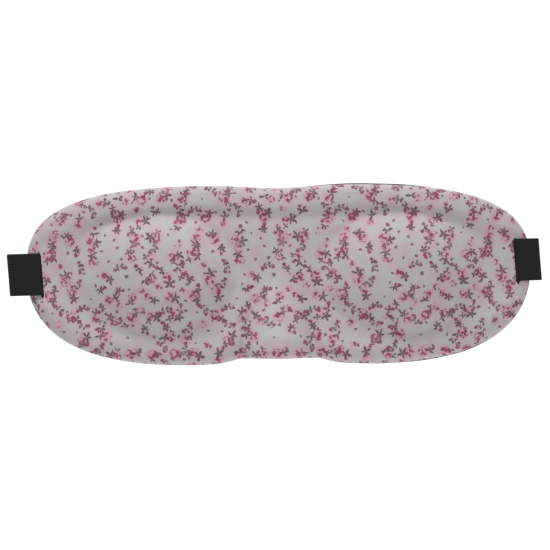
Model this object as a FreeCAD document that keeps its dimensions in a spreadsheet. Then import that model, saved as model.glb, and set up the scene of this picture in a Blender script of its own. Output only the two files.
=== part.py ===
import FreeCAD, Part
import math
import os
from FreeCAD import Placement, Rotation, Vector

# A contoured sleep mask: a moulded foam shell between a printed face cloth and a dark lining, with an
# elastic head strap that passes through a slit at each end, folds round the rim and runs behind.
# X is across the face, the printed side faces -Y and Z is up. The origin is the bridge of the nose
# on the skin side. All sizes are millimetres and degrees.

DRIVING_SIZES = [
    ("mask_width", 240.0, "across both eyes"),
    ("top_height", 38.6, "highest point of the brow edge above the strap line"),
    ("bottom_depth", 46.6, "lowest point of the cheek edge below the strap line"),
    ("brow_dip", 1.7, "how far the brow edge dips between the eyes"),
    ("brow_dip_width", 22.0, "half width of that dip"),
    ("nose_arch", 3.9, "how far the edge under the nose lies above the cheeks"),
    ("nose_half_width", 18.0, "half width of the nose arch"),
    ("nose_step_width", 8.0, "how fast the edge falls from the arch to the cheeks"),
    ("end_power", 4.0, "superellipse power along X, how blunt the ends are"),
    ("top_power", 2.6, "superellipse power of the brow edge"),
    ("bottom_power", 2.3, "superellipse power of the cheek edge"),
    ("back_radius", 370.0, "wrap of the skin side round the face"),
    ("face_thickness", 0.5, "printed cloth"),
    ("foam_thickness", 4.0, "moulded foam"),
    ("lining_thickness", 0.5, "skin-side cloth"),
    ("dome_height", 9.0, "how far an eye dome stands out of the rim"),
    ("dome_end_margin", 23.5, "from the end of the mask to the dome"),
    ("dome_nose_margin", 18.5, "from the middle of the mask to the dome"),
    ("dome_top_margin", 12.6, "from the brow edge to the dome"),
    ("dome_bottom_margin", 14.6, "from the cheek edge to the dome"),
    ("nose_height", 10.0, "how far the nose ridge stands out at its lower end"),
    ("nose_top", 3.0, "where the nose ridge starts, above the strap line"),
    ("layer_shrink", 0.8, "how much a hollow is smaller all round, for each millimetre of foam"),
    ("slit_inset", 8.9, "from the end of the mask to a strap slit"),
    ("slit_clearance", 0.4, "between the elastic and the slit, each side"),
    ("slit_end_gap", 1.2, "between the elastic's edge and the end of the slit"),
    ("strap_width", 20.0, "elastic"),
    ("strap_thickness", 1.0, "elastic"),
    ("wrap_gap", 0.2, "between the elastic and the rim that it goes round"),
    ("left_reach", 7.5, "from the left end of the rim to the outer fold, along the rim"),
    ("right_reach", 3.6, "the same at the right end"),
    ("strap_offset", 2.35, "from the skin side to the strap, at the end of the mask"),
    ("strap_bow", 10.0, "angle of the strap's straight runs to X"),
    ("strap_tilt", 1.1, "slope of the whole strap, its right-hand end up"),
    ("bow_margin", 4.9, "from the slider to the arc behind the head, along X"),
    ("joint_inset", 32.0, "from the end of the mask to where the strap swings free"),
    ("merge_inset", 20.0, "from the end of the mask to where a loop's layers meet"),
    ("moving_gap", 0.25, "between pieces that move on each other"),
    ("bend_radius", 1.0, "centre line of the elastic at the slit"),
    ("merge_radius", 8.0, "centre line of the elastic where a loop closes"),
    ("slider_travel", 38.0, "along the strap"),
    ("slider_length", 20.0, "along the strap"),
    ("slider_bar", 1.5, "thickness of the slider's bars"),
    ("slider_bar_width", 3.0, "width of each bar along the strap"),
    ("slider_rail", 2.4, "width of the slider's side rails"),
    ("slider_corner", 2.5, "corner radius of the slider"),
    ("seam_length", 6.0, "turned back end of the elastic on the slider, past the bar"),
    ("seam_gap", 3.2, "from the bar to the turned back end's flat part, in thicknesses of elastic"),
    ("seam_slope", 2.0, "length of the turned back end that its slope takes up"),
    ("slope_gap", 0.6, "from the bar to that slope"),
    ("slope_radius", 1.2, "centre line of the elastic at each end of that slope"),
    ("loop_tail", 1.0, "elastic of the slider's loop past the turned back end"),
    ("tail_end_gap", 3.0, "from the left end's tail to where the strap swings free"),
    ("stitch_width", 0.8, "each bar of thread"),
    ("stitch_pitch", 1.6, "between bars of thread"),
    ("stitch_edge", 2.0, "from the elastic's edge to the end of a bar of thread"),
    ("stitch_stand", 0.2, "how far thread stands out of the elastic"),
    ("stitch_end", 0.66, "from the left end's tail to its thread"),
    ("thread_gap", 0.1, "least gap between thread and the next layer"),
]
STITCH_ROWS = 3
NOSE_TAPER = 0.45
RIGHT, LEFT = 1, -1

doc = FreeCAD.newDocument("sleep_mask")
sheet = doc.addObject("Spreadsheet::Sheet", "Sizes")
for row, (alias, value, meaning) in enumerate(DRIVING_SIZES, start=1):
    sheet.set(f"A{row}", alias.replace("_", " "))
    sheet.set(f"B{row}", str(value))
    sheet.set(f"C{row}", meaning)
    sheet.setAlias(f"B{row}", alias)
doc.recompute()


def size(alias):
    """One driving size, read from the sheet."""
    return float(sheet.get(alias))


def bind(feature, **expressions):
    """Bind a feature's properties to expressions on the sheet's cells."""
    for name, expression in expressions.items():
        feature.setExpression(name, expression)


# ---------------------------------------------------------------- shell: layers and outline

half_width = size("mask_width") / 2
back_radius = size("back_radius")
wall = size("face_thickness") + size("foam_thickness") + size("lining_thickness")
cover_size = [  # what lies behind each surface, from the printed side to the skin side
    wall,
    size("foam_thickness") + size("lining_thickness"),
    size("lining_thickness"),
    0.0,
]
PRINT_SIDE, FOAM_FRONT, FOAM_BACK, SKIN_SIDE = range(4)


def back_y(x):
    """Y of the skin side of the rim at x: a circle that touches the origin."""
    return back_radius - math.sqrt(back_radius**2 - x**2)


def brow_edge(x, top):
    """Upper outline: a superellipse with a shallow dip between the eyes."""
    crown = (1 - (abs(x) / half_width) ** size("end_power")) ** (1 / size("top_power"))
    dip = size("brow_dip") * math.exp(-((x / size("brow_dip_width")) ** 2))
    return (top - dip) * crown


def cheek_edge(x, bottom):
    """Lower outline: a superellipse, raised to a flat arch under the nose with a step at each side."""
    crown = (1 - (abs(x) / half_width) ** size("end_power")) ** (1 / size("bottom_power"))
    beyond = max(abs(x) - size("nose_half_width"), 0.0) / size("nose_step_width")
    return -(bottom - size("nose_arch") / (1 + beyond**1.5)) * crown


def spread(start, end, steps):
    """Values of x from start to end that crowd together towards the ends of the mask."""
    first, last = (math.asin(v / half_width) for v in (start, end))
    return [half_width * math.sin(first + (last - first) * i / steps) for i in range(steps + 1)]


def outline():
    """The mask's outline as a face in the XZ plane."""
    nose = size("nose_half_width")

    def curve(positions, edge, height, **tangents):
        points = [Vector(x, 0, edge(x, size(height))) for x in positions]
        spline = Part.BSplineCurve()
        spline.interpolate(Points=points, **tangents)
        return spline.toShape()

    up, down, none = Vector(0, 0, 1), Vector(0, 0, -1), Vector(0, 0, 0)
    brow = curve(
        spread(half_width, -half_width, 32),
        brow_edge,
        "top_height",
        InitialTangent=up,
        FinalTangent=down,
    )
    left_cheek = curve(
        spread(-half_width, -nose, 14),
        cheek_edge,
        "bottom_depth",
        Tangents=[down] + [none] * 14,
        TangentFlags=[True] + [False] * 14,
    )
    arch = curve([-nose, -nose / 2, 0, nose / 2, nose], cheek_edge, "bottom_depth")
    right_cheek = curve(
        spread(nose, half_width, 14),
        cheek_edge,
        "bottom_depth",
        Tangents=[none] * 14 + [up],
        TangentFlags=[False] * 14 + [True],
    )
    face = doc.addObject("Part::Feature", "outline")
    face.Shape = Part.Face(Part.Wire([brow, left_cheek, arch, right_cheek]))
    return face


dome_x = (half_width - size("dome_end_margin") + size("dome_nose_margin")) / 2
dome_z = (
    size("top_height") - size("dome_top_margin") - size("bottom_depth") + size("dome_bottom_margin")
) / 2
dome_half_length = half_width - size("dome_end_margin") - dome_x
dome_half_height = size("top_height") - size("dome_top_margin") - dome_z
nose_bottom = size("nose_arch") - size("bottom_depth")


def swell(radius, power):
    """A smooth bump of height one: one less a power of the radius, itself to the power 1.5."""
    return max(1 - radius**power, 0.0) ** 1.5


def relief(x, z, shrink):
    """How far the shell stands out of its rim at x, z. The eye domes are swells on an ellipse. The nose
    ridge widens and rises evenly from its top down to the edge. Both are smaller by shrink all round."""
    across = (abs(x) - dome_x) / (dome_half_length - shrink)
    upwards = (z - dome_z) / (dome_half_height - shrink)
    dome = size("dome_height") * swell(math.hypot(across, upwards), 3)
    down = (size("nose_top") - shrink - z) / (size("nose_top") - nose_bottom)
    if down <= 0:
        return dome
    share = min(down, 1.2)
    width = (size("nose_half_width") - shrink) * (NOSE_TAPER + (1 - NOSE_TAPER) * share)
    rise = share**2 * (3 - 2 * share) if share < 1 else 1.0
    return dome + size("nose_height") * rise * swell(abs(x) / width, 2)


def behind(layer):
    """Everything behind one surface of the shell, as a solid: the surface passes through a grid of
    points of the rim's wrap and the relief, and is carried straight back."""
    cover = cover_size[layer]
    inwards = size("foam_thickness") if layer in (FOAM_BACK, SKIN_SIDE) else 0.0
    shrink = inwards * size("layer_shrink")
    across, upwards = 48, 22
    low, high = -size("bottom_depth") * 1.1, size("top_height") * 1.1
    grid = []
    for i in range(across + 1):
        x = half_width * 1.03 * (2 * i / across - 1)
        column = []
        for j in range(upwards + 1):
            z = low + (high - low) * j / upwards
            column.append(Vector(x, back_y(x) - cover - relief(x, z, shrink), z))
        grid.append(column)
    surface = Part.BSplineSurface()
    surface.interpolate(grid)
    solid = doc.addObject("Part::Feature", f"behind_{layer}")
    solid.Shape = surface.toShape().extrude(Vector(0, half_width / 2, 0))
    return solid


# ---------------------------------------------------------------- strap: where it runs

strap_half = size("strap_thickness") / 2
slit_x = half_width - size("slit_inset")
slit_turn = math.asin(slit_x / back_radius)
along_rim = Vector(math.cos(slit_turn), math.sin(slit_turn), 0)  # towards the end of the mask
out_of_rim = Vector(math.sin(slit_turn), -math.cos(slit_turn), 0)  # towards the printed side
slit_point = Vector(slit_x, back_y(slit_x), 0)
bow = math.radians(size("strap_bow"))
run_inwards = Vector(-math.cos(bow), math.sin(bow), 0)  # right-hand run, towards the middle
run_outside = Vector(math.sin(bow), math.cos(bow), 0)  # away from the face
run_start = Vector(half_width, back_y(half_width) + size("strap_offset"), 0)
rim_end = (half_width - slit_x) / along_rim.x  # from the slit to the end of the rim, along it
joint_x = half_width - size("joint_inset")
merge_x = half_width - size("merge_inset")
layer_pitch = size("strap_thickness") + size("moving_gap")
tilt = Placement(Vector(0, 0, 0), Rotation(Vector(0, 1, 0), -size("strap_tilt")))


def on_run(x, offset=0.0):
    """A point on the right-hand straight run at x, offset away from the face."""
    step = (run_start.x + offset * run_outside.x - x) / math.cos(bow)
    return run_start + run_outside * offset + run_inwards * step


def from_slit(along, out):
    """A point in the slit's own axes."""
    return slit_point + along_rim * along + out_of_rim * out


front_leg = wall + size("wrap_gap") + strap_half


def outer_fold(reach):
    """Centre and radius of the fold that joins the front leg to the straight run.
    It touches both lines, and its outermost side lies at reach past the end of the rim."""
    outermost = rim_end + reach
    corner = run_start - from_slit(outermost, front_leg)
    diagonal = along_rim + out_of_rim
    radius = corner.dot(run_outside) / (1 - diagonal.dot(run_outside))
    return from_slit(outermost - radius, front_leg - radius), radius


def loop_route(reach, inner_end_x):
    """Corners and bend radii of one loop, from its inner layer through the slit and round the rim."""
    centre, radius = outer_fold(reach)
    turn = math.pi / 2 - slit_turn - bow
    outermost = centre + along_rim * radius
    behind_slit = from_slit(0, -size("wrap_gap") - strap_half)
    corners = [
        (on_run(inner_end_x, -layer_pitch), 0),
        (on_run(merge_x, -layer_pitch), size("merge_radius")),
        (behind_slit, size("bend_radius")),
        (from_slit(0, front_leg), size("bend_radius")),
        (outermost + out_of_rim * radius, radius),
        (outermost - out_of_rim * radius * math.tan(turn / 2), radius),
        (on_run(joint_x), 0),
    ]
    return corners


def mirrored(corners):
    """The same route on the left-hand side."""
    return [(Vector(-point.x, point.y, point.z), radius) for point, radius in corners]


def ribbon_edges(corners, half):
    """Closed outline of a ribbon of thickness 2 * half about straight runs joined by tangent arcs."""
    points = [point for point, _ in corners]
    runs = [(b - a).normalize() for a, b in zip(points, points[1:])]
    sides = {1: [], -1: []}
    for side in sides:
        offset = [Vector(-run.y, run.x, 0) * half * side for run in runs]
        here = points[0] + offset[0]
        for i in range(1, len(points) - 1):
            turn = runs[i - 1].getAngle(runs[i])
            back = corners[i][1] * math.tan(turn / 2)
            start, end = points[i] - runs[i - 1] * back, points[i] + runs[i] * back
            middle = (runs[i] - runs[i - 1]).normalize()
            centre = points[i] + middle * (corners[i][1] / math.cos(turn / 2))
            first, last = start + offset[i - 1], end + offset[i]
            bend = centre - middle * (first - centre).Length
            if (first - here).Length > 1e-6:
                sides[side].append(Part.LineSegment(here, first))
            sides[side].append(Part.Arc(first, bend, last))
            here = last
        final = points[-1] + offset[-1]
        sides[side].append(Part.LineSegment(here, final))
    ends = [
        Part.LineSegment(a.StartPoint, b.StartPoint) if first else Part.LineSegment(b, a)
        for first, a, b in (
            (True, sides[1][0], sides[-1][0]),
            (False, sides[1][-1].EndPoint, sides[-1][-1].EndPoint),
        )
    ]
    return sides[1] + sides[-1] + ends


def origin_plane(body, role):
    """A body's own origin plane."""
    return next(f for f in body.Origin.OriginFeatures if f.Role == role)


def sketch_on(body, name, role="XY_Plane", lift=None):
    """A sketch on one of the body's own planes, lifted by an expression if one is given."""
    sketch = body.newObject("Sketcher::SketchObject", name)
    sketch.AttachmentSupport = [(origin_plane(body, role), "")]
    sketch.MapMode = "FlatFace"
    if lift:
        sketch.setExpression("AttachmentOffset.Base.z", lift)
    return sketch


def pad(body, sketch, length, both_sides=False):
    """A pad whose length is bound to an expression."""
    feature = body.newObject("PartDesign::Pad", f"{sketch.Name}_pad")
    feature.Profile = sketch
    feature.Midplane = both_sides
    bind(feature, Length=length)
    body.Tip = feature
    return feature


def ribbon(label, corners):
    """A piece of elastic standing on edge along a route."""
    body = doc.addObject("PartDesign::Body", label)
    sketch = sketch_on(body, f"{label}_route")
    sketch.addGeometry(ribbon_edges(corners, strap_half), False)
    pad(body, sketch, "Sizes.strap_width", both_sides=True)
    body.Placement = tilt
    return body


# ---------------------------------------------------------------- shell: the three layers

layers = [behind(layer) for layer in range(4)]
block = doc.addObject("Part::Extrusion", "outline_block")
block.Base = outline()
block.DirMode = "Custom"
block.Dir = Vector(0, 1, 0)
block.Solid = True
bind(block, LengthFwd="Sizes.mask_width / 4", LengthRev="Sizes.mask_width / 4")

slits = []
for side, word in ((LEFT, "left"), (RIGHT, "right")):
    slit = doc.addObject("Part::Box", f"{word}_slit")
    bind(
        slit,
        Length="Sizes.strap_thickness + 2 * Sizes.slit_clearance",
        Width="4 * (Sizes.face_thickness + Sizes.foam_thickness + Sizes.lining_thickness)",
        Height="Sizes.strap_width + 2 * Sizes.slit_end_gap",
    )
    corner = Vector(
        -strap_half - size("slit_clearance"),
        -2.5 * wall,
        -size("strap_width") / 2 - size("slit_end_gap"),
    )
    turn = Rotation(Vector(0, 0, 1), side * math.degrees(slit_turn))
    middle = Vector(side * slit_point.x, slit_point.y, 0)
    slit.Placement = tilt.multiply(Placement(middle + turn.multVec(corner), turn))
    slits.append(slit)


def layer_between(label, front, back):
    """One layer of the shell: between two of its surfaces, inside the outline, less the slits."""
    core = doc.addObject("Part::Common", f"{label}_core")
    core.Base, core.Tool = block, layers[front]
    tools = [layers[back], *slits]
    for count, tool in enumerate(tools, start=1):
        name = label if count == len(tools) else f"{label}_{count}"
        feature = doc.addObject("Part::Cut", name)
        feature.Base, feature.Tool = core, tool
        core = feature
    return core


face_fabric = layer_between("face_fabric", PRINT_SIDE, FOAM_FRONT)
foam_shell = layer_between("foam_shell", FOAM_FRONT, FOAM_BACK)
lining_fabric = layer_between("lining_fabric", FOAM_BACK, SKIN_SIDE)

# ---------------------------------------------------------------- strap: its pieces

joint_gap = size("moving_gap") / 2
tail_end_x = joint_x + size("tail_end_gap")
right_route = loop_route(size("right_reach"), joint_x)
left_route = mirrored(loop_route(size("left_reach"), tail_end_x))
right_strap_loop = ribbon("right_strap_loop", right_route)
left_strap_loop = ribbon("left_strap_loop", left_route)

to_joint = size("slider_travel") + size("slider_length") / 2 + 4 * size("moving_gap")
slider_middle = on_run(joint_x) + run_inwards * to_joint
slider_inner_end = slider_middle + run_inwards * size("slider_length") / 2
bow_radius = (slider_inner_end.x - size("bow_margin")) / math.sin(bow)
free_end = on_run(joint_x - joint_gap * 2)
back_strap = ribbon(
    "back_strap",
    [
        (free_end, 0),
        (on_run(0.0), bow_radius),
        (Vector(-free_end.x, free_end.y, 0), 0),
    ],
)

# ---------------------------------------------------------------- slider, in its own axes
# Its own X runs along the strap towards the right end, and its own Z points away from the face.

slider_turn = Rotation(run_inwards * -1, Vector(0, 0, -1), run_outside, "XYZ")
slider_place = Placement(slider_middle, slider_turn)

bar = size("slider_bar")
loop_level = -(strap_half + size("moving_gap") + strap_half)  # centre line of the sewn end
rail_inside = size("strap_width") / 2 + size("slit_clearance")
slider_half_width = rail_inside + size("slider_rail")
slider_half_length = size("slider_length") / 2


def rectangle(x0, y0, x1, y1):
    """Four lines of a rectangle in a sketch."""
    corners = [Vector(x0, y0, 0), Vector(x1, y0, 0), Vector(x1, y1, 0), Vector(x0, y1, 0)]
    return [Part.LineSegment(a, b) for a, b in zip(corners, corners[1:] + corners[:1])]


def rounded_rectangle(half_x, half_y, radius):
    """Lines and quarter arcs of a rectangle with round corners about the sketch's origin."""
    shapes = []
    for quarter in range(4):
        angle = math.pi / 2 * quarter
        sx, sy = ((1, 1), (-1, 1), (-1, -1), (1, -1))[quarter]
        centre = Vector(sx * (half_x - radius), sy * (half_y - radius), 0)
        arc = [
            centre + Vector(math.cos(angle + step), math.sin(angle + step), 0) * radius
            for step in (0, math.pi / 4, math.pi / 2)
        ]
        shapes.append(Part.Arc(*arc))
    joined = []
    for arc, following in zip(shapes, shapes[1:] + shapes[:1]):
        joined += [arc, Part.LineSegment(arc.EndPoint, following.StartPoint)]
    return joined


slider = doc.addObject("PartDesign::Body", "slider")
over = "(Sizes.strap_thickness / 2 + Sizes.moving_gap)"
under = "(-1.5 * Sizes.strap_thickness - 1.2 * Sizes.moving_gap)"
frame_sketch = sketch_on(slider, "slider_frame", lift=over)
frame_sketch.addGeometry(
    rounded_rectangle(slider_half_length, slider_half_width, size("slider_corner")), False
)
window = slider_half_length - size("slider_bar_width")
frame_sketch.addGeometry(rectangle(-window, -rail_inside, window, rail_inside), False)
pad(slider, frame_sketch, "Sizes.slider_bar")

rail_sketch = sketch_on(slider, "slider_rails", lift=f"{under} - Sizes.slider_bar")
rail_reach = slider_half_length - size("slider_corner")
for rail in (-1, 1):
    inside, outside = sorted((rail * rail_inside, rail * slider_half_width))
    rail_sketch.addGeometry(rectangle(-rail_reach, inside, rail_reach, outside), False)
pad(slider, rail_sketch, f"{over} - {under} + Sizes.slider_bar")

bar_sketch = sketch_on(slider, "slider_centre_bar", lift=f"{under} - Sizes.slider_bar")
half_bar = size("slider_bar_width") / 2
bar_sketch.addGeometry(rectangle(-half_bar, -rail_inside, half_bar, rail_inside), False)
pad(slider, bar_sketch, "Sizes.slider_bar")
slider.Placement = tilt.multiply(slider_place)

# ---------------------------------------------------------------- the end sewn round the slider's bar


def slider_point(along, level):
    """A point on the strap's plan, given in the slider's own axes."""
    return slider_middle - run_inwards * along + run_outside * level


clear_of_bar = size("moving_gap") / 5
wrap_radius = (bar + 2 * clear_of_bar) / 2 + strap_half
lower_level = loop_level - 2 * wrap_radius
seam_level = loop_level - size("strap_thickness") - clear_of_bar
wrap_end = -half_bar - wrap_radius
seam_start = half_bar + size("seam_gap") * size("strap_thickness")
seam_end = seam_start + size("seam_length") - size("seam_slope")
loop_end = seam_end + size("loop_tail")
slider_loop = ribbon(
    "slider_loop",
    [
        (slider_point(seam_end, seam_level), 0),
        (slider_point(seam_start, seam_level), size("slope_radius")),
        (slider_point(half_bar + size("slope_gap"), lower_level), size("slope_radius")),
        (slider_point(wrap_end, lower_level), wrap_radius),
        (slider_point(wrap_end, loop_level), wrap_radius),
        (slider_point(loop_end, loop_level), 0),
    ],
)
strap_return = ribbon(
    "strap_return",
    [
        (slider_point(loop_end + size("moving_gap"), loop_level), 0),
        (on_run(joint_x - joint_gap * 2, loop_level), 0),
    ],
)

# ---------------------------------------------------------------- thread


def bartack(label, place, low, high):
    """Rows of thread across the elastic, in one node: they pass through it from low to high."""
    rows = []
    for row in range(STITCH_ROWS):
        thread = doc.addObject("Part::Box", f"{label}_row_{row}")
        bind(
            thread,
            Length="Sizes.stitch_width",
            Width="Sizes.strap_width - 2 * Sizes.stitch_edge",
        )
        thread.Height = high - low
        offset = (row - (STITCH_ROWS - 1) / 2) * size("stitch_pitch")
        corner = Vector(
            offset - size("stitch_width") / 2, size("stitch_edge") - size("strap_width") / 2, low
        )
        thread.Placement = tilt.multiply(place).multiply(Placement(corner, Rotation()))
        rows.append(thread)
    group = doc.addObject("Part::MultiFuse", label)
    group.Shapes = rows
    return group


stand = size("stitch_stand")
slider_bartack = bartack(
    "slider_bartack",
    Placement(slider_point((seam_start + seam_end) / 2, 0), slider_turn),
    seam_level - strap_half - stand,
    loop_level + strap_half + min(stand, size("moving_gap") - size("thread_gap")),
)
left_inwards = Vector(math.cos(bow), math.sin(bow), 0)
left_outside = Vector(-math.sin(bow), math.cos(bow), 0)
left_middle = on_run(tail_end_x + STITCH_ROWS / 2 * size("stitch_pitch") + size("stitch_end"))
left_bartack = bartack(
    "left_bartack",
    Placement(
        Vector(-left_middle.x, left_middle.y, 0),
        Rotation(left_inwards, Vector(0, 0, -1), left_outside, "XYZ"),
    ),
    -layer_pitch - strap_half - stand,
    strap_half + stand,
)

# ---------------------------------------------------------------- check and write

doc.recompute()
for thing in doc.Objects:
    if {"Invalid", "Error"} & set(thing.State):
        raise RuntimeError(f"{thing.Label} failed: {thing.State}")

SUB_PARTS = {
    face_fabric: 1,
    foam_shell: 1,
    lining_fabric: 1,
    left_strap_loop: 1,
    right_strap_loop: 1,
    back_strap: 1,
    strap_return: 1,
    slider: 1,
    slider_loop: 1,
    left_bartack: STITCH_ROWS,
    slider_bartack: STITCH_ROWS,
}
for sub_part, solids in SUB_PARTS.items():
    shape = sub_part.Shape
    if shape.isNull() or not shape.isValid() or len(shape.Solids) != solids:
        raise RuntimeError(f"{sub_part.Label} has a bad shape")
    box = shape.BoundBox
    print(
        f"{sub_part.Label:18s} {shape.Volume:10.1f} mm3  x {box.XMin:7.1f} {box.XMax:7.1f}"
        f"  y {box.YMin:6.1f} {box.YMax:6.1f}  z {box.ZMin:6.1f} {box.ZMax:6.1f}"
    )
print("fold radii", [round(outer_fold(size(f"{word}_reach"))[1], 2) for word in ("left", "right")])
print("slider middle", slider_middle, "runs along", run_inwards * -1)

os.makedirs("parts", exist_ok=True)
for sub_part in SUB_PARTS:
    sub_part.Shape.exportStep(f"parts/{sub_part.Label}.step")
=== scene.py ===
import math

import bpy
import numpy as np
from bpy.props import FloatProperty, FloatVectorProperty, IntProperty, PointerProperty
from mathutils import Matrix, Vector


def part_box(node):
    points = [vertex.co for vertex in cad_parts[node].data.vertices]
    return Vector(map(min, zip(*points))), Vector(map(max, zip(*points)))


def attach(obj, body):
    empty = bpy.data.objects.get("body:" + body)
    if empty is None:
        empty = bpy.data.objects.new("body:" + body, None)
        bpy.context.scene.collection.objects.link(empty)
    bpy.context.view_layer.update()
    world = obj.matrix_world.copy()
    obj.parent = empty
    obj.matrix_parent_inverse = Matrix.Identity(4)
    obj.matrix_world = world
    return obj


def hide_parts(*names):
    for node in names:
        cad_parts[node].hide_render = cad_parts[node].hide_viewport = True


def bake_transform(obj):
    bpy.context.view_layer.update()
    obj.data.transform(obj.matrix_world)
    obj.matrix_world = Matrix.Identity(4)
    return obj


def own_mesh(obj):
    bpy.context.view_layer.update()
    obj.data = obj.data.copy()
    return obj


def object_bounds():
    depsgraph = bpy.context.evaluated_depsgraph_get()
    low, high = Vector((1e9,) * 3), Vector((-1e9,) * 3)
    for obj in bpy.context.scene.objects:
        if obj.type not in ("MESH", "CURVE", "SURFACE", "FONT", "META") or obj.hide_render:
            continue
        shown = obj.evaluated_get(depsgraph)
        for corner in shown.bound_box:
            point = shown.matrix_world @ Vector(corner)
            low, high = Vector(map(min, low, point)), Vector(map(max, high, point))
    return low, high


bl_info = {
    "name": "Contoured Sleep Mask",
    "version": (1, 0, 0),
    "blender": (4, 5, 0),
    "location": "View3D > Sidebar > Sleep Mask",
    "description": "A sleep mask: printed face cloth, foam, dark lining and an elastic head strap",
    "category": "Add Mesh",
}

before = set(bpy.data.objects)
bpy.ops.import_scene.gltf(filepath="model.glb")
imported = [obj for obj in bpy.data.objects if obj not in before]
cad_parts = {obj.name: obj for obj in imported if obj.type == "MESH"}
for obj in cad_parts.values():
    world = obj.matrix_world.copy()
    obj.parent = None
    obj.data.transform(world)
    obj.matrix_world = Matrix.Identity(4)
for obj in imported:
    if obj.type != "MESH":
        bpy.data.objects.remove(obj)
cad_box = [list(corner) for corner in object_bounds()]
shell_low, shell_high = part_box("foam_shell")


# ------------------------------------------------------------------ sizes and colours


def metres(name, value, description, digits=4):
    """A length property in metres."""
    return FloatProperty(
        name=name, default=value, unit="LENGTH", precision=digits, description=description
    )


def degrees(name, value, description):
    """An angle property, its default given in degrees."""
    return FloatProperty(
        name=name, default=math.radians(value), subtype="ANGLE", description=description
    )


def colour(name, value, description):
    """A colour property with a swatch."""
    return FloatVectorProperty(
        name=name, default=value, subtype="COLOR", size=3, min=0.0, max=1.0, description=description
    )


class ShellSizes(bpy.types.PropertyGroup):
    """The moulded shell: its outline, wrap, layers, eye domes, nose ridge, rim and slits."""

    width: metres("Width", shell_high.x - shell_low.x, "Across both eyes")
    brow_height: metres(
        "Brow height", 0.0386, "Highest point of the brow edge above the strap line"
    )
    cheek_depth: metres(
        "Cheek depth", 0.0466, "Lowest point of the cheek edge below the strap line"
    )
    brow_dip: metres("Brow dip", 0.0017, "How far the brow edge dips between the eyes")
    brow_dip_width: metres("Brow dip width", 0.022, "Half width of the dip in the brow edge")
    nose_arch: metres("Nose arch", 0.0039, "How far the edge under the nose lies above the cheeks")
    nose_half_width: metres(
        "Nose half width", 0.018, "Half width of the nose arch and of the ridge at its foot"
    )
    nose_step: metres("Nose step", 0.008, "How fast the edge falls from the arch to the cheeks")
    wrap_radius: metres("Wrap radius", 0.370, "Wrap of the skin side round the face")
    cloth: metres("Face cloth", 0.0005, "Thickness of the printed cloth", 5)
    foam: metres("Foam", 0.004, "Thickness of the moulded foam")
    lining: metres("Lining", 0.0005, "Thickness of the skin-side cloth", 5)
    dome_height: metres("Dome height", 0.009, "How far an eye dome stands out of the rim")
    dome_end_margin: metres("Dome to end", 0.0235, "From the end of the mask to the dome")
    dome_nose_margin: metres("Dome to nose", 0.0185, "From the middle of the mask to the dome")
    dome_brow_margin: metres("Dome to brow", 0.0126, "From the brow edge to the dome")
    dome_cheek_margin: metres("Dome to cheek", 0.0146, "From the cheek edge to the dome")
    nose_height: metres("Nose height", 0.010, "How far the nose ridge stands out at its foot")
    nose_top: metres("Nose top", 0.003, "Where the nose ridge starts, above the strap line")
    hollow_shrink: metres(
        "Hollow shrink", 0.0032, "How much smaller all round a hollow is than its dome"
    )
    rim_roll: metres(
        "Rim roll", 0.0042, "How far in from the edge the cloth starts to roll round the rim"
    )
    rim_puff: metres(
        "Rim puff", 0.0009, "How far the soft rim swells between its edge and the groove", 5
    )
    groove_depth: metres(
        "Groove depth", 0.0010, "How deep the groove inside the rim is pressed under the brow"
    )
    groove_width: metres("Groove width", 0.0032, "Half width of the pressed groove")
    groove_inset: metres("Groove inset", 0.0145, "From the brow edge to the pressed groove")
    unevenness: metres(
        "Unevenness", 0.00016, "How far the soft surface strays from its true shape", 5
    )
    slit_inset: metres("Slit inset", 0.0089, "From the end of the mask to a strap slit")
    slit_width: metres("Slit width", 0.0018, "Across a strap slit")
    slit_length: metres("Slit length", 0.0232, "Along a strap slit, with its closed tails")
    slit_drop: metres(
        "Slit drop", 0.0006, "How much longer a slit's lower tail is than its upper one"
    )
    slit_lean: degrees("Slit lean", 3.0, "How far the slits and the strap's folds lean to the left")
    tilt: degrees("Strap tilt", 1.1, "Slope of the whole strap, its right-hand end up")


class StrapSizes(bpy.types.PropertyGroup):
    """The elastic strap and the way it runs."""

    width: metres("Width", 0.020, "Across the elastic")
    thickness: metres("Thickness", 0.001, "Through the elastic")
    wrap_gap: metres(
        "Gap at the rim", 0.0002, "Between the elastic and the rim that it goes round", 5
    )
    left_reach: metres("Left reach", 0.0075, "From the left end of the rim to the outer fold")
    right_reach: metres("Right reach", 0.0036, "From the right end of the rim to the outer fold")
    offset: metres("Offset", 0.00235, "From the skin side to the strap at the end of the mask", 5)
    bow: degrees("Bow", 10, "Angle of the straight runs to the mask's own width")
    bow_margin: metres("Bow margin", 0.0049, "From the slider to the arc behind the head")
    joint_inset: metres(
        "Swing inset", 0.032, "From the end of the mask to where the strap swings free"
    )
    merge_inset: metres(
        "Merge inset", 0.020, "From the end of the mask to where the strap's two layers meet"
    )
    tail_gap: metres("Tail gap", 0.003, "From the left end's tail to where the strap swings free")
    layer_gap: metres("Layer gap", 0.00025, "Between two layers of elastic", 5)
    bend_radius: metres("Bend radius", 0.001, "Centre line of the elastic at a slit")
    merge_radius: metres("Merge radius", 0.008, "Centre line of the elastic where a loop closes")


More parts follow.
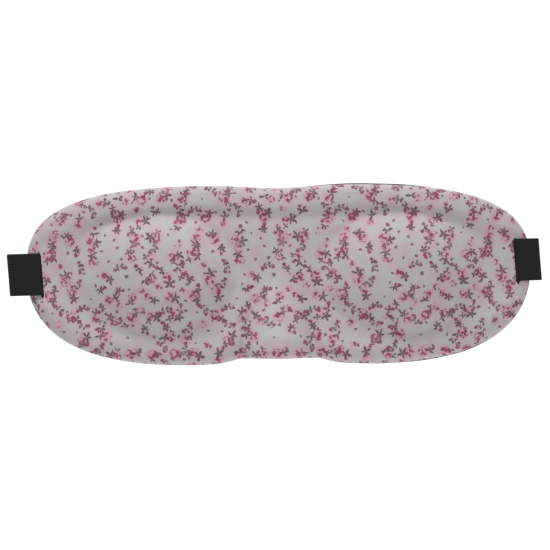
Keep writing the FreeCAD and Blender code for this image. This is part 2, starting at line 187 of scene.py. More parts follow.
class SliderSizes(bpy.types.PropertyGroup):
    """The three-bar slider and the elastic sewn round its middle bar."""

    length: metres("Length", 0.020, "Along the strap")
    travel: metres("Travel", 0.038, "How far it slides towards the mask")
    bar: metres("Bar thickness", 0.0015, "Thickness of each bar")
    bar_width: metres("Bar width", 0.003, "Each bar, along the strap")
    rail: metres("Rail width", 0.0024, "Each side rail, across the strap")
    side_gap: metres("Side gap", 0.0004, "Between the elastic's edge and a rail", 5)
    corner: metres("Corner radius", 0.0025, "Outer corners seen from the front")
    stitch_rows: IntProperty(
        name="Stitch rows", default=3, min=1, max=6, description="Rows of thread in each bartack",
    )
    stitch_pitch: metres("Stitch pitch", 0.0016, "Between rows of thread")
    stitch_length: metres("Stitch length", 0.016, "Length of a row of thread, across the elastic")
    thread_radius: metres("Thread radius", 0.00016, "Half the thickness of the sewing thread", 5)


class PrintDesign(bpy.types.PropertyGroup):
    """The small flower print of the face cloth."""

    repeat: metres("Repeat", 0.0686, "Distance after which the print starts again along the cloth")
    columns: IntProperty(
        name="Columns", default=7, min=2, description="Sprigs side by side in one repeat",
    )
    row_pitch: metres("Row pitch", 0.0091, "Between rows of sprigs")
    ground: colour("Ground", (0.370, 0.364, 0.364), "Cloth between the sprigs")
    blush: colour("Blush", (0.40, 0.305, 0.345), "Pale watery patches behind the sprigs")
    petal: colour("Petal", (0.43, 0.255, 0.300), "Outer petals of a rose")
    heart: colour("Heart", (0.205, 0.026, 0.066), "Dark folds in the middle of a rose")
    leaf: colour("Leaf", (0.074, 0.036, 0.040), "Leaves and twigs")
    dot: colour("Dot", (0.095, 0.038, 0.056), "Small buds and seeds")


class Finishes(bpy.types.PropertyGroup):
    """Colours of the plain pieces."""

    elastic: colour("Elastic", (0.0045, 0.0045, 0.0048), "Head strap")
    lining: colour("Lining", (0.022, 0.021, 0.024), "Brushed cloth on the skin side")
    foam: colour("Foam", (0.06, 0.058, 0.062), "Foam core")
    plastic: colour("Plastic", (0.016, 0.016, 0.018), "Slider")
    thread: colour("Thread", (0.020, 0.020, 0.022), "Bartacks")


class StudioSizes(bpy.types.PropertyGroup):
    """Floor, lights and camera."""

    floor_drop: metres("Floor drop", 0.165, "From the strap line down to the floor", 3)
    floor_radius: metres("Floor radius", 0.24, "Half the width of the round floor", 3)
    camera_distance: metres("Camera distance", 1.09, "From the camera to the middle of the mask", 3)
    lens: FloatProperty(name="Lens", default=150.0, description="Focal length in millimetres")
    roll: degrees("Camera roll", 0.65, "How far the camera leans to its right")
    key_power: FloatProperty(
        name="Key light", default=15.0, unit="POWER", description="Soft light at the upper left",
    )
    sky: FloatProperty(
        name="Surround", default=0.62, description="Brightness of the surround on the object",
    )


# ------------------------------------------------------------------ the shell's surfaces


def wrap(x, s):
    """Y of the rim's skin side: a circle of the wrap radius that touches the origin."""
    return s.wrap_radius - np.sqrt(s.wrap_radius**2 - x**2)


def brow_edge(x, s):
    """Height of the upper edge: a superellipse, less a bell-shaped dip between the eyes."""
    crown = np.maximum(1 - (np.abs(x) / (s.width / 2)) ** 4.0, 0.0) ** (1 / 2.6)
    return (s.brow_height - s.brow_dip * np.exp(-((x / s.brow_dip_width) ** 2))) * crown


def cheek_edge(x, s):
    """Height of the lower edge: a superellipse, raised to a flat arch that steps down at each
    side."""
    crown = np.maximum(1 - (np.abs(x) / (s.width / 2)) ** 4.0, 0.0) ** (1 / 2.3)
    beyond = np.maximum(np.abs(x) - s.nose_half_width, 0.0) / s.nose_step
    return -(s.cheek_depth - s.nose_arch / (1 + beyond**1.5)) * crown


def swell(radius, power):
    """A smooth bump of height one: one less a power of the radius, itself to the power 1.5."""
    return np.maximum(1 - radius**power, 0.0) ** 1.5


def dome_place(s):
    """Middle of the right-hand eye dome in X and Z, and its half length and half height."""
    half = s.width / 2
    x = (half - s.dome_end_margin + s.dome_nose_margin) / 2
    z = (s.brow_height - s.dome_brow_margin - s.cheek_depth + s.dome_cheek_margin) / 2
    return x, z, half - s.dome_end_margin - x, s.brow_height - s.dome_brow_margin - z


def wall_of(s):
    """Thickness of the shell: both cloths and the foam."""
    return s.cloth + s.foam + s.lining


RIDGE_TAPER = 0.45  # width of the nose ridge at its top, as a part of that at its foot


def ridge_width(s, share, shrink):
    """Half width of the nose ridge at a share of the way down it."""
    return (s.nose_half_width - shrink) * (RIDGE_TAPER + (1 - RIDGE_TAPER) * share)


def nose_share(z, s, shrink=0.0):
    """How far down the nose ridge a height lies: nought at its top, one at the arch."""
    foot = s.cheek_depth - s.nose_arch
    return (s.nose_top - shrink - z) / (foot + s.nose_top)


def relief(x, z, s, shrink):
    """How far the shell stands out of its rim. The eye domes are swells on an ellipse. The nose
    ridge widens and rises with a smooth step from its top to the edge. Both are smaller by
    shrink all round."""
    middle_x, middle_z, half_length, half_height = dome_place(s)
    across = (np.abs(x) - middle_x) / (half_length - shrink)
    upwards = (z - middle_z) / (half_height - shrink)
    dome = s.dome_height * swell(np.hypot(across, upwards), 3)
    share = np.clip(nose_share(z, s, shrink), 0.0, 1.2)
    width = ridge_width(s, share, shrink)
    step = np.clip(share, 0.0, 1.0)
    rise = step**2 * (3 - 2 * step)
    return dome + s.nose_height * rise * swell(np.abs(x) / width, 2)


def smooth(value, low, high):
    """A smooth step from nought at low to one at high."""
    t = np.clip((value - low) / (high - low), 0.0, 1.0)
    return t * t * (3 - 2 * t)


def bell(value, width):
    """A bell curve of height one."""
    return np.exp(-((value / width) ** 2))


def from_dome(x, z, s):
    """Distance outside a dome's outline, to first order: its radius less one, over that radius's
    slope."""
    middle_x, middle_z, half_length, half_height = dome_place(s)
    across = (np.abs(x) - middle_x) / half_length
    upwards = (z - middle_z) / half_height
    radius = np.maximum(np.hypot(across, upwards), 1e-6)
    slope = np.hypot(across / half_length, upwards / half_height) / radius
    return (radius - 1) / np.maximum(slope, 1e-6)


def stray(x, z, amount, seed):
    """The soft shell's unevenness: a dozen waves of 16 to 70 mm in random directions, added up."""
    chance = np.random.default_rng(seed)
    total = np.zeros_like(x)
    for _ in range(12):
        turn, phase = chance.uniform(0, 2 * np.pi, 2)
        length = chance.uniform(0.016, 0.070)
        along = np.cos(turn) * x + np.sin(turn) * z
        total += np.sin(2 * np.pi * along / length + phase)
    return amount * total / np.sqrt(6.0)


VALLEY_WIDTH = 0.0026  # of the crease beside the nose ridge
VALLEY_DEPTH = 1.4  # of that crease, as a part of the groove's depth
DOME_GROOVE = 0.12  # depth of the groove round a dome, as a part of the same
DOME_GROOVE_WIDTH = 0.004
PUFF_INSET = 0.0082  # from the edge to the rim's fullest place
PUFF_WIDTH = 0.0042


def printed_side(x, z, inset, s):
    """Y of the printed side before it rolls round the rim: the rim's wrap, less the wall and
    the relief. A groove with a bell-shaped section is pressed all along the rim, deepest under
    the brow and further in at the ends, and fainter ones round each dome and beside the nose
    ridge. The rim swells in a bell curve between its edge and that groove, but not under the
    strap."""
    share = np.clip(nose_share(z, s), 0.0, 1.2)
    beside_nose = np.abs(x) - ridge_width(s, share, 0.0)
    valley = bell(beside_nose, VALLEY_WIDTH) * smooth(share, 0.15, 0.8)
    brow = smooth(z, -0.004, 0.014)
    end = smooth(np.abs(x), 0.080, 0.108)
    along_rim = bell(inset - s.groove_inset - 0.006 * end + 0.0015 * (1 - brow), s.groove_width)
    at_nose = 1 - (1 - brow) * (1 - smooth(np.abs(x), 0.020, 0.036))
    bridge = 1 - 0.4 * bell(x, 0.036)
    rim_groove = along_rim * (0.42 + 0.58 * brow) * (1 - 0.75 * end) * at_nose * bridge
    dome_groove = DOME_GROOVE * bell(from_dome(x, z, s), DOME_GROOVE_WIDTH)
    deepest = np.maximum(np.maximum(rim_groove, dome_groove), VALLEY_DEPTH * valley)
    pressed = s.groove_depth * deepest
    at_slit = (1 - smooth(np.abs(z), 0.012, 0.018)) * smooth(np.abs(x), 0.097, 0.104)
    puff = s.rim_puff * bell(inset - PUFF_INSET, PUFF_WIDTH) * (1 - at_slit)
    rough = stray(x, z, s.unevenness, 7) * smooth(inset, 0.002, 0.008) * (1 - at_slit)
    return wrap(x, s) - wall_of(s) - relief(x, z, s, 0.0) + pressed - puff + rough


def skin_side(x, z, s):
    """Y of the skin side: the rim's wrap, less the relief of the hollows."""
    return wrap(x, s) - relief(x, z, s, s.hollow_shrink)


AROUND = 560  # points round the edge
ROLL_ROWS = 11  # rows on the rolled rim
INNER_ROWS = 38  # rows inside the slits
SLIT_ROW = ROLL_ROWS + 1  # the row of faces that the slits are cut from
SPINE_REACH = 0.042  # inset at which the rows meet on a line of points
LINING_CLEAR = 0.00003  # between the end of the rolled cloth and the lining


def outline(s):
    """Points round the edge, from the right-hand end over the brow and back under the nose, and
    the outward direction at each. Both halves use the same X positions, spread evenly along the
    mean of the two edges, so that the rows can meet on a line of points inside."""
    half = s.width / 2
    fine = half * np.cos(np.linspace(0, np.pi, 6001))
    height = (brow_edge(fine, s) - cheek_edge(fine, s)) / 2
    run = np.concatenate([[0], np.cumsum(np.hypot(np.diff(fine), np.diff(height)))])
    x = np.interp(np.linspace(0, run[-1], AROUND // 2 + 1), run, fine)
    z = np.concatenate([brow_edge(x, s), cheek_edge(x[-2:0:-1], s)])
    x = np.concatenate([x, x[-2:0:-1]])
    z[0] = z[AROUND // 2] = 0.0
    along_x, along_z = np.roll(x, -1) - np.roll(x, 1), np.roll(z, -1) - np.roll(z, 1)
    length = np.hypot(along_x, along_z)
    return x, z, along_z / length, -along_x / length


def slit_middle(s, depth):
    """Inset and height of the right-hand slit's middle at a depth in front of the skin side.
    The slit runs square to the rim, so it comes nearer to the end on the printed side."""
    slit_x = s.width / 2 - s.slit_inset
    turn = math.asin(slit_x / s.wrap_radius)
    return s.slit_inset - depth * math.tan(turn), slit_x * math.tan(s.tilt)


def shell_points(s, insets, depth):
    """X and Z of every point of a layer at a depth in front of the skin side. Rows run parallel
    to the edge at the given insets, turn smoothly into a straight blend towards a line of
    points inside, and the last row lies on that line. Near each end the rows are straightened
    to lie along the leaning slit, and they close up at its two tails."""
    edge_x, edge_z, out_x, out_z = outline(s)
    half = s.width / 2
    inner_x = edge_x * (half - SPINE_REACH) / half
    inner_z = (brow_edge(edge_x, s) + cheek_edge(edge_x, s)) / 2
    share = np.clip(insets / SPINE_REACH, 0.0, 1.0)
    turn = smooth(insets, 0.007, 0.026)
    x = (edge_x - out_x * insets) * (1 - turn) + (edge_x + (inner_x - edge_x) * share) * turn
    z = (edge_z - out_z * insets) * (1 - turn) + (edge_z + (inner_z - edge_z) * share) * turn
    middle, height = slit_middle(s, depth)
    side = np.sign(x)
    above = z - side * height + s.slit_drop
    straight = smooth(insets, 0.0028, middle - s.slit_width / 2)
    straight = straight * (1 - smooth(insets, middle + s.slit_width / 2, 0.016))
    straight = straight * (1 - smooth(np.abs(above), s.slit_length / 2, s.slit_length / 2 + 0.009))
    straight = straight * smooth(np.abs(x), half - 0.030, half - 0.020)
    tail = smooth(np.abs(above), s.slit_length / 2 - 0.0022, s.slit_length / 2 - 0.0004)
    narrow = 1 - 0.93 * tail * bell(insets - middle, 0.0018)
    leaning = (above - s.slit_drop) * math.tan(s.slit_lean + s.tilt)
    wanted = side * (half - middle - (insets - middle) * narrow) - leaning
    return x + (wanted - x) * straight, z


def inner_insets(s, depth):
    """Insets of the rows inside the roll: three up to the slit, one at its far side, then even
    steps."""
    middle, _ = slit_middle(s, depth)
    first, last = middle - s.slit_width / 2, middle + s.slit_width / 2
    return np.concatenate(
        [
            np.linspace(s.rim_roll, first, 3)[1:],
            [last],
            np.linspace(last, SPINE_REACH, INNER_ROWS)[1:],
        ]
    )


def shell_faces(s, x, z):
    """Four-sided faces between the rows, those of the two slits left out. The last row's points
    are shared by the brow side and the cheek side."""
    rows = len(x)
    step = np.arange(AROUND)
    number = step + np.arange(rows)[:, None] * AROUND
    number[-1] = (rows - 1) * AROUND + np.minimum(step, AROUND - step)
    following = np.roll(number, -1, axis=1)
    faces = np.stack([number[:-1], following[:-1], following[1:], number[1:]], axis=2)
    _, height = slit_middle(s, 0.0)
    middle_z = (z[SLIT_ROW] + np.roll(z[SLIT_ROW], -1)) / 2
    above = middle_z - np.sign(x[SLIT_ROW]) * height + s.slit_drop
    at_end = np.abs(x[SLIT_ROW]) > s.width / 2 - 0.012
    keep = np.ones(faces.shape[:2], bool)
    keep[SLIT_ROW] = ~((np.abs(above) < s.slit_length / 2) & at_end)
    return faces[keep]


def weld_last_row(grid):
    """The points of a grid in one list. Its last row keeps only one of each pair that meet."""
    return np.concatenate([grid[:-1].reshape(-1, grid.shape[2]), grid[-1, : AROUND // 2 + 1]])


def points_of(x, y, z):
    """Three grids as one grid of points."""
    return np.stack([x, y, z], axis=2)


def closed_slab(outer, inner, faces):
    """A closed piece between two surfaces with the same faces: the outer faces, the inner faces
    turned round, and a wall along every edge that only one face has."""
    count = len(outer)
    edges = np.stack([faces, np.roll(faces, -1, axis=1)], axis=2).reshape(-1, 2)
    key = edges.min(axis=1).astype(np.int64) * count + edges.max(axis=1)
    _, back, uses = np.unique(key, return_inverse=True, return_counts=True)
    border = edges[uses[back] == 1]
    walls = np.stack(
        [border[:, 1], border[:, 0], border[:, 0] + count, border[:, 1] + count], axis=1
    )
    return np.concatenate([outer, inner]), np.concatenate([faces, faces[:, ::-1] + count, walls])


def outline_depth(s):
    """At each point of the outline, from the printed side back to the lining."""
    x, z, _, _ = outline(s)
    return skin_side(x, z, s) - s.lining - LINING_CLEAR - printed_side(x, z, np.zeros_like(x), s)


def rolled_surface(s, under):
    """The printed side, or the surface that lies under it by a given amount: Y is that of the
    printed side, and along the rim it falls back to the lining on a quarter ellipse. Returns
    the grid of points and, for each, how much longer the cloth's way round the rim is than it
    looks from the front."""
    angle = np.linspace(0, np.pi / 2, ROLL_ROWS)[:, None]
    reach = s.rim_roll - under
    roll = under + reach * (1 - np.cos(angle))
    front = wall_of(s) - under
    insets = np.concatenate([roll, inner_insets(s, front)[:, None]]) * np.ones(AROUND)
    fall = np.concatenate([1 - np.sin(angle), np.zeros((len(insets) - ROLL_ROWS, 1))])
    x, z = shell_points(s, insets, front)
    depth = outline_depth(s)
    y = printed_side(x, z, insets, s) + under + (depth - under) * fall
    typical = depth.mean()
    steps = np.hypot(np.diff(roll[:, 0]), typical * np.diff(np.sin(angle[:, 0])))
    way = np.concatenate([np.cumsum(steps[::-1])[::-1], [0.0]])
    longer = np.concatenate([way - (s.rim_roll - roll[:, 0]), np.zeros(len(insets) - ROLL_ROWS)])
    return points_of(x, y, z), longer


def skin_surface(s, inset_at_edge, lift):
    """The skin side, or the surface in front of it by lift, from the given inset inwards."""
    share = (1 - np.cos(np.linspace(0, np.pi / 2, ROLL_ROWS)))[:, None]
    edge = inset_at_edge + (s.rim_roll - inset_at_edge) * share
    inner = inner_insets(s, lift)[:, None] * np.ones(AROUND)
    insets = np.concatenate([edge * np.ones(AROUND), inner])
    x, z = shell_points(s, insets, lift)
    return points_of(x, skin_side(x, z, s) - lift, z)


# ------------------------------------------------------------------ meshes


def make_piece(name, points, faces, flat=None, sharp=50.0):
    """A mesh object from arrays of points and faces, its faces turned outwards if the volume
    that they enclose comes out negative. The flat places of its points become a UV map in
    metres."""
    corners = points[faces]
    first = np.cross(corners[:, 1] - corners[:, 0], corners[:, 2] - corners[:, 0])
    second = np.cross(corners[:, 2] - corners[:, 0], corners[:, 3] - corners[:, 0])
    volume = np.einsum("ij,ij->", first + second, corners.mean(axis=1))
    if volume < 0:
        faces = faces[:, ::-1]
    mesh = bpy.data.meshes.new(name)
    mesh.vertices.add(len(points))
    mesh.vertices.foreach_set("co", points.astype(np.float32).ravel())
    mesh.loops.add(faces.size)
    mesh.loops.foreach_set("vertex_index", faces.astype(np.int32).ravel())
    mesh.polygons.add(len(faces))
    mesh.polygons.foreach_set("loop_start", np.arange(0, faces.size, 4, dtype=np.int32))
    mesh.update(calc_edges=True)
    if mesh.validate():
        raise RuntimeError(f"{name} has faces that had to be mended")
    if flat is not None:
        layer = mesh.uv_layers.new(name="flat")
        layer.uv.foreach_set("vector", flat[faces.ravel()].astype(np.float32).ravel())
    mesh.polygons.foreach_set("use_smooth", np.ones(len(faces), bool))
    mesh.set_sharp_from_angle(angle=math.radians(sharp))
    piece = bpy.data.objects.new(name, mesh)
    bpy.context.scene.collection.objects.link(piece)
    return piece


def route(corners, step):
    """A smooth flat route: straight runs joined by arcs that touch them, as points in X and Y
    with the direction at each. Corners are pairs of a point and the arc's radius."""
    places = [np.array(place, float) for place, _ in corners]
    heading = [(b - a) / np.linalg.norm(b - a) for a, b in zip(places, places[1:])]
    points, directions, here = [], [], places[0]
    for i in range(1, len(places)):
        before = heading[i - 1]
        if i < len(places) - 1:
            after, radius = heading[i], corners[i][1]
            turn = math.atan2(before[0] * after[1] - before[1] * after[0], before @ after)
            back = radius * math.tan(abs(turn) / 2)
        else:
            turn, back, radius = 0.0, 0.0, 0.0
        end = places[i] - before * back
        count = max(int(round(np.linalg.norm(end - here) / step)), 1)
        share = np.linspace(0, 1, count, endpoint=False)[:, None]
        points.append(here + (end - here) * share)
        directions.append(np.repeat(before[None], count, axis=0))
        if radius:
            side = np.array([-before[1], before[0]]) * math.copysign(1, turn)
            centre = end + side * radius
            count = max(int(abs(turn) * radius / step), int(abs(turn) / 0.14), 2)
            angle = np.linspace(0, turn, count, endpoint=False)[:, None]
            spoke = end - centre
            quarter = np.array([-spoke[1], spoke[0]])
            points.append(centre + spoke * np.cos(angle) + quarter * np.sin(angle))
            across = np.array([-before[1], before[0]])
            directions.append(before * np.cos(angle) + across * np.sin(angle))
            here = places[i] + after * back
        else:
            here = end
    points.append(here[None])
    directions.append(heading[-1][None])
    return np.concatenate(points), np.concatenate(directions)


def run_along(places):
    """How far along a line of points each one lies."""
    return np.concatenate([[0], np.cumsum(np.linalg.norm(np.diff(places, axis=0), axis=1))])


def ring_faces(rows, ring):
    """Numbers of the points of rings that follow each other, and the faces between the rings."""
    number = np.arange(rows * ring).reshape(rows, ring)
    around = np.roll(number, -1, axis=1)
    faces = np.stack([number[:-1], number[1:], around[1:], around[:-1]], axis=2)
    return number, faces.reshape(-1, 4)


def ribbon(places, directions, width, thickness):
    """Elastic standing on edge along a route. Its section is a flat rectangle with half-round
    edges, very slightly hollow along its middle. Returns points, faces and flat places."""
    half = thickness / 2
    straight = np.linspace(-1, 1, 21) * (width / 2 - half)
    round_edge = np.linspace(np.pi / 2, -np.pi / 2, 8)[1:-1]
    hollow = 1 - 0.06 * np.cos(np.pi * straight / width) ** 2
    through = np.concatenate(
        [half * hollow, half * np.sin(round_edge), -half * hollow[::-1], -half * np.sin(round_edge)]
    )
    upwards = np.concatenate(
        [
            straight,
            width / 2 - half + half * np.cos(round_edge),
            straight[::-1],
            -(width / 2 - half) - half * np.cos(round_edge),
        ]
    )
    side = np.stack([-directions[:, 1], directions[:, 0]], axis=1)
    flat_xy = places[:, None, :] + side[:, None, :] * through[None, :, None]
    tall = np.repeat(upwards[None], len(places), axis=0)
    points = np.concatenate([flat_xy, tall[:, :, None]], axis=2)
    ring = len(through)
    number, faces = ring_faces(len(places), ring)
    lid = np.arange(ring // 2 - 1)
    cap = np.stack([lid, lid + 1, ring - 2 - lid, ring - 1 - lid], axis=1)
    last = number[-1, 0]
    faces = np.concatenate([faces, cap, cap[:, ::-1] + last])
    length = run_along(places)
    flat = np.stack([tall, np.repeat(length[:, None], ring, axis=1)], axis=2)
    return points.reshape(-1, 3), faces, flat.reshape(-1, 2)


def thread_tube(places, outwards, radius, sides=8):
    """A thread along a line of points: a ring of points about each, square to the line."""
    along = np.gradient(places, axis=0)
    along /= np.linalg.norm(along, axis=1, keepdims=True)
    across = np.cross(along, outwards)
    across /= np.linalg.norm(across, axis=1, keepdims=True)
    upright = np.cross(across, along)
    angle = np.linspace(0, 2 * np.pi, sides, endpoint=False)
    cosine, sine = np.cos(angle)[None, :, None], np.sin(angle)[None, :, None]
    ring = cosine * across[:, None] + sine * upright[:, None]
    points = places[:, None] + radius * ring
    number = np.arange(len(places) * sides).reshape(len(places), sides)
    around = np.roll(number, -1, axis=1)
    faces = np.stack([number[:-1], around[:-1], around[1:], number[1:]], axis=2).reshape(-1, 4)
    lid = np.arange(sides // 2 - 1)
    cap = np.stack([lid, lid + 1, sides - 2 - lid, sides - 1 - lid], axis=1)
    faces = np.concatenate([faces, cap[:, ::-1], cap + number[-1, 0]])
    length = run_along(places)
    round_it = np.repeat(angle[None] * radius, len(places), axis=0)
    flat = np.stack([round_it, np.repeat(length[:, None], sides, axis=1)], axis=2)
    return points.reshape(-1, 3), faces, flat.reshape(-1, 2)


# ------------------------------------------------------------------ where the strap runs


class StrapPlan:
    """The strap's plan on the right-hand side, worked out from the sizes."""

    def __init__(self, shell, strap, slider):
        self.strap = strap
        half = shell.width / 2
        self.half = half
        slit_x = half - shell.slit_inset
        self.turn = math.asin(slit_x / shell.wrap_radius)
        self.slit = np.array([slit_x, float(wrap(slit_x, shell))])
        self.along_rim = np.array([math.cos(self.turn), math.sin(self.turn)])
        self.out_of_rim = np.array([math.sin(self.turn), -math.cos(self.turn)])
        self.inwards = np.array([-math.cos(strap.bow), math.sin(strap.bow)])
        self.outside = np.array([math.sin(strap.bow), math.cos(strap.bow)])
        self.start = np.array([half, float(wrap(half, shell)) + strap.offset])
        self.joint_x = half - strap.joint_inset
        self.merge_x = half - strap.merge_inset
        self.pitch = strap.thickness + strap.layer_gap
        self.wall = wall_of(shell)
        self.rim_end = (half - slit_x) / self.along_rim[0]
        to_joint = slider.travel + slider.length / 2 + 4 * strap.layer_gap
        self.slider_middle = self.on_run(self.joint_x) + self.inwards * to_joint
        inner_end = self.slider_middle + self.inwards * slider.length / 2
        self.bow_half_span = inner_end[0] - strap.bow_margin
        self.lean, self.tilt = shell.slit_lean, shell.tilt

    def on_run(self, x, offset=0.0):
        """A point on the straight run at x, offset away from the face."""
        step = (self.start[0] + offset * self.outside[0] - x) / math.cos(self.strap.bow)
        return self.start + self.outside * offset + self.inwards * step

    def from_slit(self, along, out):
        """A point in the slit's own axes."""
        return self.slit + self.along_rim * along + self.out_of_rim * out

    def from_slider(self, along, level):
        """A point in the slider's own axes: along the strap to the right, and away from the
        face."""
        return self.slider_middle - self.inwards * along + self.outside * level

    def bow_arc(self):
        """From the middle of the head to the straight run: an arc that touches it."""
        radius = self.bow_half_span / math.sin(self.strap.bow)
        centre = self.on_run(self.bow_half_span) - self.outside * radius
        angle = np.linspace(0, self.strap.bow, 26, endpoint=False)[:, None]
        up, side = np.array([0.0, 1.0]), np.array([1.0, 0.0])
        places = np.array([0.0, centre[1]]) + radius * (up * np.cos(angle) + side * np.sin(angle))
        return places, side * np.cos(angle) - up * np.sin(angle)

    def half_strap(self, reach, inner_end_x, step):
        """From the middle of the head along the run, round the end of the rim, through the slit
        and back along the run's inner side."""
        half_thick = self.strap.thickness / 2
        front = self.wall + self.strap.wrap_gap + half_thick
        outermost = self.rim_end + reach
        corner = self.start - self.from_slit(outermost, front)
        diagonal = self.along_rim + self.out_of_rim
        fold = (corner @ self.outside) / (1 - diagonal @ self.outside)
        centre = self.from_slit(outermost - fold, front - fold)
        turn = math.pi / 2 - self.turn - self.strap.bow
        tip = centre + self.along_rim * fold
        corners = [
            (self.on_run(self.bow_half_span), 0),
            (tip - self.out_of_rim * fold * math.tan(turn / 2), fold),
            (tip + self.out_of_rim * fold, fold),
            (self.from_slit(0, front), self.strap.bend_radius),
            (self.from_slit(0, -self.strap.wrap_gap - half_thick), self.strap.bend_radius),
            (self.on_run(self.merge_x, -self.pitch), self.strap.merge_radius),
            (self.on_run(inner_end_x, -self.pitch), 0),
        ]
        places, directions = route(corners, step)
        arc_places, arc_directions = self.bow_arc()
        return np.concatenate([arc_places, places]), np.concatenate([arc_directions, directions])

    def leaned(self, points):
        """Points near the mask's ends pushed along the rim, more the higher they are, so that
        the folds lean with the slits."""
        near_end = smooth(np.abs(points[:, 0]), 0.100, 0.109)
        push = -points[:, 2] * math.tan(self.lean) * near_end
        sideways = push * np.sign(points[:, 0]) * math.tan(self.turn)
        return points + np.stack([push, sideways, np.zeros_like(push)], axis=1)

    def tilted(self, points):
        """Points turned about Y so that the strap's right-hand end lies higher."""
        points = np.asarray(points, float)
        cosine, sine = math.cos(self.tilt), math.sin(self.tilt)
        x, y, z = points[..., 0], points[..., 1], points[..., 2]
        return np.stack([x * cosine - z * sine, y, x * sine + z * cosine], axis=-1)


def mirrored(places, directions):
    """The same route on the left-hand side."""
    flip = np.array([-1.0, 1.0])
    return places * flip, directions * flip


def strap_plan(context):
    """The plan made from the scene's own sizes."""
    scene = context.scene
    return StrapPlan(scene.sleep_mask_shell, scene.sleep_mask_strap, scene.sleep_mask_slider)


# ------------------------------------------------------------------ materials


class Wire:
    """A socket of a material that takes part in arithmetic. Each operation adds one Math node."""

    def __init__(self, tree, socket):
        self.tree, self.socket = tree, socket

    def of(self, output):
        """Another output of the same node."""
        return Wire(self.tree, self.socket.node.outputs[output])

    def math(self, operation, *values):
        """A Math node fed with these values, this socket among them."""
        node = self.tree.nodes.new("ShaderNodeMath")
        node.operation = operation
        for place, value in enumerate(values or (self,)):
            plug(self.tree, node.inputs[place], value)
        return Wire(self.tree, node.outputs[0])

    def __add__(self, other):
        return self.math("ADD", self, other)

    __radd__ = __add__

    def __sub__(self, other):
        return self.math("SUBTRACT", self, other)

    def __rsub__(self, other):
        return self.math("SUBTRACT", other, self)

    def __mul__(self, other):
        return self.math("MULTIPLY", self, other)

    __rmul__ = __mul__

    def __truediv__(self, other):
        return self.math("DIVIDE", self, other)

    def __rtruediv__(self, other):
        return self.math("DIVIDE", other, self)

    def __mod__(self, other):
        return self.math("FLOORED_MODULO", self, other)

    def __lt__(self, other):
        return self.math("LESS_THAN", self, other)

    def __gt__(self, other):
        return self.math("GREATER_THAN", self, other)

    def __abs__(self):
        return self.math("ABSOLUTE")

    def squared(self):
        return self.math("MULTIPLY", self, self)

    def root(self):
        return self.math("SQRT")

    def floor(self):
        return self.math("FLOOR")

    def sine(self):
        return self.math("SINE")

    def cosine(self):
        return self.math("COSINE")

    def most(self, other):
        return self.math("MAXIMUM", self, other)


def plug(tree, socket, value):
    """Give a socket a link or a plain value."""
    if isinstance(value, Wire):
        tree.links.new(value.socket, socket)
    elif socket.type == "RGBA" and len(value) == 3:
        socket.default_value = (*value, 1.0)
    else:
        socket.default_value = value


class Finish:
    """One material being made."""

    def __init__(self, name):
        self.material = bpy.data.materials.new(name)
        self.material.use_nodes = True
        self.tree = self.material.node_tree
        self.tree.nodes.clear()
        self.shader = self.tree.nodes.new("ShaderNodeBsdfPrincipled")
        output = self.tree.nodes.new("ShaderNodeOutputMaterial")
        self.tree.links.new(self.shader.outputs[0], output.inputs["Surface"])

    def node(self, kind, settings, sockets, output=0):
        """Any node: its settings first, then the values or links of its sockets. Returns one
        output."""
        made = self.tree.nodes.new(kind)
        for name, value in settings.items():
            setattr(made, name, value)
        for name, value in sockets.items():
            plug(self.tree, made.inputs[name], value)
        return Wire(self.tree, made.outputs[output])

    def vector(self, x, y, z=0.0):
        return self.node("ShaderNodeCombineXYZ", {}, {"X": x, "Y": y, "Z": z})

    def parts(self, vector):
        """The three numbers of a vector or colour."""
        split = self.node("ShaderNodeSeparateXYZ", {}, {"Vector": vector})
        return split.of("X"), split.of("Y"), split.of("Z")

    def step(self, value, low, high):
        """A smooth step from nought at low to one at high, or the other way if high is below
        low."""
        ends = (low, high, 0.0, 1.0) if not high < low else (high, low, 1.0, 0.0)
        names = ("From Min", "From Max", "To Min", "To Max")
        return self.node(
            "ShaderNodeMapRange",
            {"interpolation_type": "SMOOTHSTEP"},
            {"Value": value, **dict(zip(names, ends))},
        )

    def mix(self, share, first, second):
        """A colour between two colours."""
        return self.node(
            "ShaderNodeMix",
            {"data_type": "RGBA"},
            {0: share, 6: first, 7: second},
            output=2,
        )

    def chance(self, x, y, seed):
        """Three random numbers from nought to one for a whole-numbered place."""
        return self.parts(
            self.node(
                "ShaderNodeTexWhiteNoise",
                {"noise_dimensions": "3D"},
                {"Vector": self.vector(x, y, seed)},
                output="Color",
            )
        )

    def noise(self, place, scale, detail=2.0, roughness=0.5, output="Fac"):
        return self.node(
            "ShaderNodeTexNoise",
            {"noise_dimensions": "3D"},
            {"Vector": place, "Scale": scale, "Detail": detail, "Roughness": roughness},
            output=output,
        )

    def flat_mm(self):
        """The place on the flat cloth, in millimetres."""
        flat = self.node("ShaderNodeUVMap", {"uv_map": "flat"}, {})
        return self.node("ShaderNodeVectorMath", {"operation": "SCALE"}, {0: flat, "Scale": 1000.0})

    def place(self):
        """The place in the piece's own space."""
        return self.node("ShaderNodeTexCoord", {}, {}, output="Object")

    def constants(self, **values):
        """Values that are the same all over, set on the shader's own sockets."""
        for name, value in values.items():
            plug(self.tree, self.shader.inputs[name.replace("_", " ")], value)

    def surface(self, base, roughness, height=None, strength=0.4, distance=0.0002):
        plug(self.tree, self.shader.inputs["Base Color"], base)
        plug(self.tree, self.shader.inputs["Roughness"], roughness)
        if height is not None:
            bump = self.node(
                "ShaderNodeBump",
                {},
                {"Height": height, "Strength": strength, "Distance": distance},
            )
            plug(self.tree, self.shader.inputs["Normal"], bump)
        return self.material


def wave(value, period):
    """A sine wave along a value."""
    return (value * (2 * math.pi / period)).sine()


def paler(value, times, plus=0.0):
    """A colour made lighter."""
    return tuple(times * channel + plus for channel in value)


